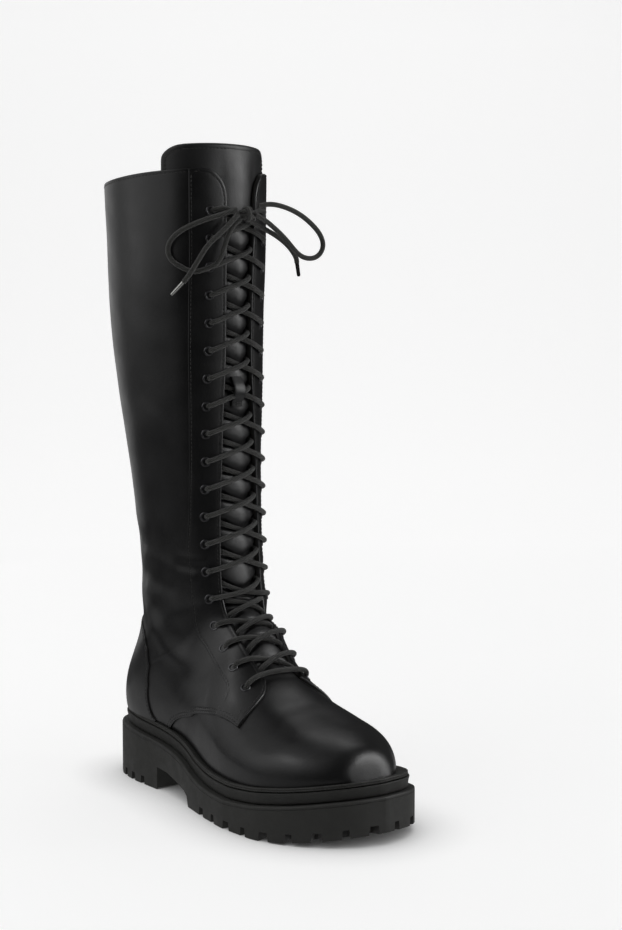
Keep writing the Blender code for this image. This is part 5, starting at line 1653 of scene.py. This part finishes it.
def make_outsole():
    """The moulded outsole: notched round its edge, grooved across its tread, every edge softened."""
    profile = [(1.7, above_top(0.0)), (1.1, above_top(-0.08)), (0.55, above_top(-0.33)),
               (0.16, above_top(-0.8)), (0.0, above_top(-1.5)), (0.0, above_top(-2.1)),
               (0.28, above_top(-2.3)), (0.28, above_top(-2.6)), (0.0, above_top(-2.8)),
               (0.0, above_top(-3.6)), (0.0, above_tread(NOTCH_HEIGHT + 0.8)), (0.0, above_tread(0.3)),
               (0.3, above_tread(0.0))]
    breast = [HEEL_BREAST - 0.004, HEEL_BREAST, HEEL_BREAST + 0.001, HEEL_BREAST + 0.006, 0.452, 0.462]
    shares = np.unique(np.round(np.concatenate([even_shares(150, 0.0006), breast]), 5))
    body = sole_layer("outsole_visual", profile, shares, [RUBBER])
    wedges = []
    for start, end, spacing, widths, narrower, wider in (
            (0.49, 0.998, NOTCH_SPACING, NOTCH_WIDTHS, 0.8, 1.4),
            (HEEL_BREAST - 0.03, 0.002, HEEL_NOTCH_SPACING, NOTCH_WIDTHS[1:], 0.5, 1.0)):
        for number, (point, inward) in enumerate(zip(*edge_places(start, end, spacing))):
            tread = float(sole_underside(point[1]))
            width = widths[number % len(widths)]
            wedges.append(wedge(point, inward, NOTCH_DEPTH, width - narrower, width + wider, tread - 3,
                                tread + NOTCH_HEIGHT))
    for y in np.arange(-112.0, -8.0, 12.8):
        lateral, medial = (float(np.interp(share_of(y), SOLE_WIDTHS[:, 0], column))
                           for column in SOLE_WIDTHS[:, 1:].T)
        middle = (medial - lateral) / 2
        reach = (lateral + medial) / 2 - NOTCH_DEPTH - 5
        tread = float(sole_underside(y))
        for sign in (-1, 1):
            start = np.array([MIDLINE_X + middle + sign * (2.5 + WEDGE_START), y + 1.5])
            wedges.append(wedge(start, np.array([sign * 0.97, -0.24]), reach - WEDGE_START, 3.4, 4.6,
                                tread - 3, tread + GROOVE_HEIGHT))
    for y in np.arange(82.0, 136.0, 12.5):
        for sign in (-1, 1):
            start = np.array([MIDLINE_X + sign * (2.0 + WEDGE_START), y])
            wedges.append(wedge(start, np.array([sign * 0.98, 0.2]), 12, 3.2, 4.2, -3, GROOVE_HEIGHT))
    corners = np.concatenate(wedges)
    boxes = (BOX_FACES[None] + 8 * np.arange(len(wedges))[:, None, None]).reshape(-1, 4)
    cutter = finished("outsole_grooves", corners, [boxes], [RUBBER], sharp=10)
    PIECES.pop("outsole_grooves")
    cutter.hide_render = True
    cutter.hide_viewport = True
    change = body.modifiers.new("grooves", "BOOLEAN")
    change.operation = "DIFFERENCE"
    change.solver = "EXACT"
    change.use_self = True
    change.object = cutter
    bpy.context.view_layer.update()
    cut_mesh = bpy.data.meshes.new_from_object(body.evaluated_get(bpy.context.evaluated_depsgraph_get()))
    body.modifiers.clear()
    body.data = cut_mesh
    bpy.data.objects.remove(cutter, do_unlink=True)
    bevelled(body, 0.5, 2, 50)
    return belongs(body, "sole_rubber", "outsole")


def make_midsole_and_welt():
    """The hollow-sided band, and the two fine beads of the welt above it."""
    shares = even_shares(170, 0.002)
    band = [(9.0, 8.2), (5.8, 8.2), (4.35, 8.15), (3.8, 7.95), (3.65, 7.6), (3.75, 7.0), (4.05, 5.8),
            (4.35, 4.2), (4.5, 2.6), (4.55, 1.3), (4.7, 0.65), (5.1, 0.35), (5.8, 0.2), (9.0, 0.15)]
    midsole = sole_layer("midsole_visual", [(inset, above_top(lift)) for inset, lift in band], shares,
                         [RUBBER])
    belongs(midsole, "sole_rubber", "midsole")
    inner = 14.0 + np.interp(shares, *TOE_ROOM)
    beads = [(inner, 10.9), (8.4, 10.95), (7.3, 11.25), (6.5, 11.5), (5.5, 11.5), (4.95, 11.3),
             (4.65, 10.9), (4.65, 10.5), (4.95, 10.2), (4.95, 10.05), (4.6, 9.8), (4.5, 9.4), (4.6, 9.0),
             (5.0, 8.7), (5.8, 8.55), (inner, 8.5)]
    welt = sole_layer("welt_visual", [(inset, above_top(lift)) for inset, lift in beads], shares, [RUBBER])
    belongs(welt, "sole_rubber", "welt")


def make_insole():
    """The cushioned sock that the foot stands on."""
    band = [(16.0, 5.0), (12.5, 4.6), (11.0, 3.6), (10.4, 2.4), (10.4, 1.0), (12.0, 0.2)]
    shares = even_shares(110, 0.004)
    narrower = np.interp(shares, *TOE_ROOM)
    sock = sole_layer("insole_visual", [(inset + narrower, lambda y, lift=lift: upper_foot_z(y) + lift)
                                        for inset, lift in band], shares, [LINING])
    belongs(sock, "insole_board", "insole")


make_outsole()
make_midsole_and_welt()
make_insole()


# --- stage, light and camera ----------------------------------------------------------------------
WHITE = linear("#ffffff")
SWEEP_START = 1500              # how far behind the boot the floor begins to curve up, in mm
SWEEP_BEND = 900                # the radius of that curve
CARD_RADIUS = 460


def make_stage():
    """A pale floor that curves up into the backdrop; it glows a little, and a little more far from the boot,
    so that it stays even; the glow is dimmed where the boot stands close, as a painted contact shadow.  A
    card under the floor, seen only in reflections, lights the underside of the leather."""
    made, tree, shader = finish_named("paper_sweep", Base_Color=linear("#bdbdbd"), Roughness=0.95,
                                      Specular_IOR_Level=0.1, Emission_Color=WHITE)
    coords = own_coordinates(tree)
    reach = node(tree, "ShaderNodeVectorMath", {0: coords}, operation="LENGTH").outputs["Value"]
    # painted contact shadow: ambient occlusion dims the floor's glow next to the boot
    painted_contact_shadow = node(tree, "ShaderNodeAmbientOcclusion", {"Distance": 0.045}, samples=12).outputs["AO"]
    glowing = mapped(tree, reach, 0.60, 0.68, 0.45, 1.9)
    feed(tree, shader, Emission_Strength=worked_out(tree, "MULTIPLY", glowing, painted_contact_shadow))
    turn = np.linspace(0, math.pi / 2, 16)
    depth = np.concatenate([[-620], SWEEP_START + SWEEP_BEND * np.sin(turn), [SWEEP_START + SWEEP_BEND]])
    height = np.concatenate([[0], SWEEP_BEND - SWEEP_BEND * np.cos(turn), [2300]])
    direction = np.array([0.62, 0.785])
    side = np.array([-direction[1], direction[0]])
    across = np.array([-1300.0, 1300.0])
    plan = depth[:, None, None] * direction + across[None, :, None] * side
    points = np.concatenate([plan, np.broadcast_to(height[:, None, None], plan.shape[:2] + (1,))], -1)
    sweep = finished("backdrop", points.reshape(-1, 3), [grid_faces(len(depth), 2)[:, ::-1]], [made],
                     sharp=60)
    PIECES.pop("backdrop")
    sweep.visible_glossy = False
    glow = finish_named("floor_glow", Base_Color=linear("#000000"), Emission_Color=WHITE,
                        Emission_Strength=0.35, Specular_IOR_Level=0.0)[0]
    ring = np.linspace(0, 2 * math.pi, 32, endpoint=False)
    disc = np.stack([CARD_RADIUS * np.cos(ring), CARD_RADIUS * np.sin(ring), np.full(32, -2.0)], 1)
    card = finished("floor_card", disc, [np.arange(32)[None]], [glow])
    PIECES.pop("floor_card")
    card.visible_camera = False
    card.visible_diffuse = False
    card.visible_shadow = False


def turned_to(target, place):
    """The rotation that points a light or camera from its place to its target."""
    return (Vector(target) - Vector(place)).to_track_quat("-Z", "Y").to_euler()


def softbox(name, place, size, radiance, target=(0.0, 0.0, 0.22), shape="RECTANGLE", layers=(1.0,),
            **seen_by):
    """An area light of a size in metres, as bright as asked, turned to its target.  Layers of other
    sizes share its light, so that its reflection fades at the rim.  It never shows itself in the
    view; seen_by may keep it from diffuse or glossy surfaces."""
    for layer in layers:
        data = bpy.data.lights.new(name, "AREA")
        data.shape = shape
        data.size = size[0] * layer
        data.size_y = size[1] * layer
        data.energy = radiance / len(layers) * math.pi * data.size * data.size_y
        made = new_object(name, data)
        made.location = place
        made.rotation_euler = turned_to(target, place)
        made.visible_camera = False
        for ray, wanted in seen_by.items():
            setattr(made, "visible_" + ray, wanted)


FADING = (1.45, 1.2, 0.95, 0.7, 0.45)

make_stage()
softbox("overhead", (-0.1, 0.1, 2.3), (2.6, 2.6), 1.4, glossy=False)
softbox("side_box", (-0.66, 0.22, 0.53), (0.82, 0.32), 2.6, target=(0.0, 0.16, 0.40), layers=FADING)
softbox("rear_box", (-0.31, 0.42, 1.02), (0.90, 0.80), 1.2, target=(0.0, -0.10, 0.07), layers=FADING)
softbox("rear_card", (0.06, 1.25, 0.36), (1.0, 0.72), 0.60, target=(0.0, 0.0, 0.30), diffuse=False)
softbox("left_glow", (-1.60, 0.50, 0.34), (2.4, 0.62), 0.20, target=(0.0, 0.0, 0.30), diffuse=False)
softbox("ankle_glow", (-0.92, 0.95, 0.47), (1.0, 0.5), 1.1, target=(-0.03, 0.06, 0.11), layers=FADING,
        diffuse=False)
softbox("toe_spot", (0.81, -0.83, 0.79), (0.42, 0.38), 22.0, target=(0.0, -0.1, 0.05), shape="ELLIPSE",
        layers=FADING, diffuse=False)
softbox("vamp_glow", (-0.81, 0.13, 1.08), (0.50, 0.24), 9.0, target=(-0.04, -0.1, 0.05), layers=FADING,
        diffuse=False)
softbox("vamp_top_glow", (0.50, 0.53, 1.08), (0.40, 0.20), 4.0, target=(-0.02, -0.1, 0.06),
        layers=FADING, diffuse=False)
softbox("front_right_strip", (1.25, -1.05, 0.38), (0.45, 0.75), 3.5)
softbox("front_fill", (0.55, -1.95, 0.9), (0.6, 1.0), 1.2)
softbox("right_back", (0.8, 0.5, 1.6), (0.6, 0.9), 0.5)

world = bpy.data.worlds.new("studio")
world.use_nodes = True
world.node_tree.nodes["Background"].inputs["Color"].default_value = WHITE
world.node_tree.nodes["Background"].inputs["Strength"].default_value = 0.04
bpy.context.scene.world = world

camera = new_object("camera", bpy.data.cameras.new("camera"))
camera.data.sensor_width = 36.0
camera.data.lens = 69.1
camera.location = (-0.75565, -1.017, 0.3416)
camera.rotation_euler = turned_to((0.03245, -0.0263, 0.2420), camera.location)
bpy.context.scene.camera = camera
bpy.context.scene.view_settings.view_transform = "Standard"
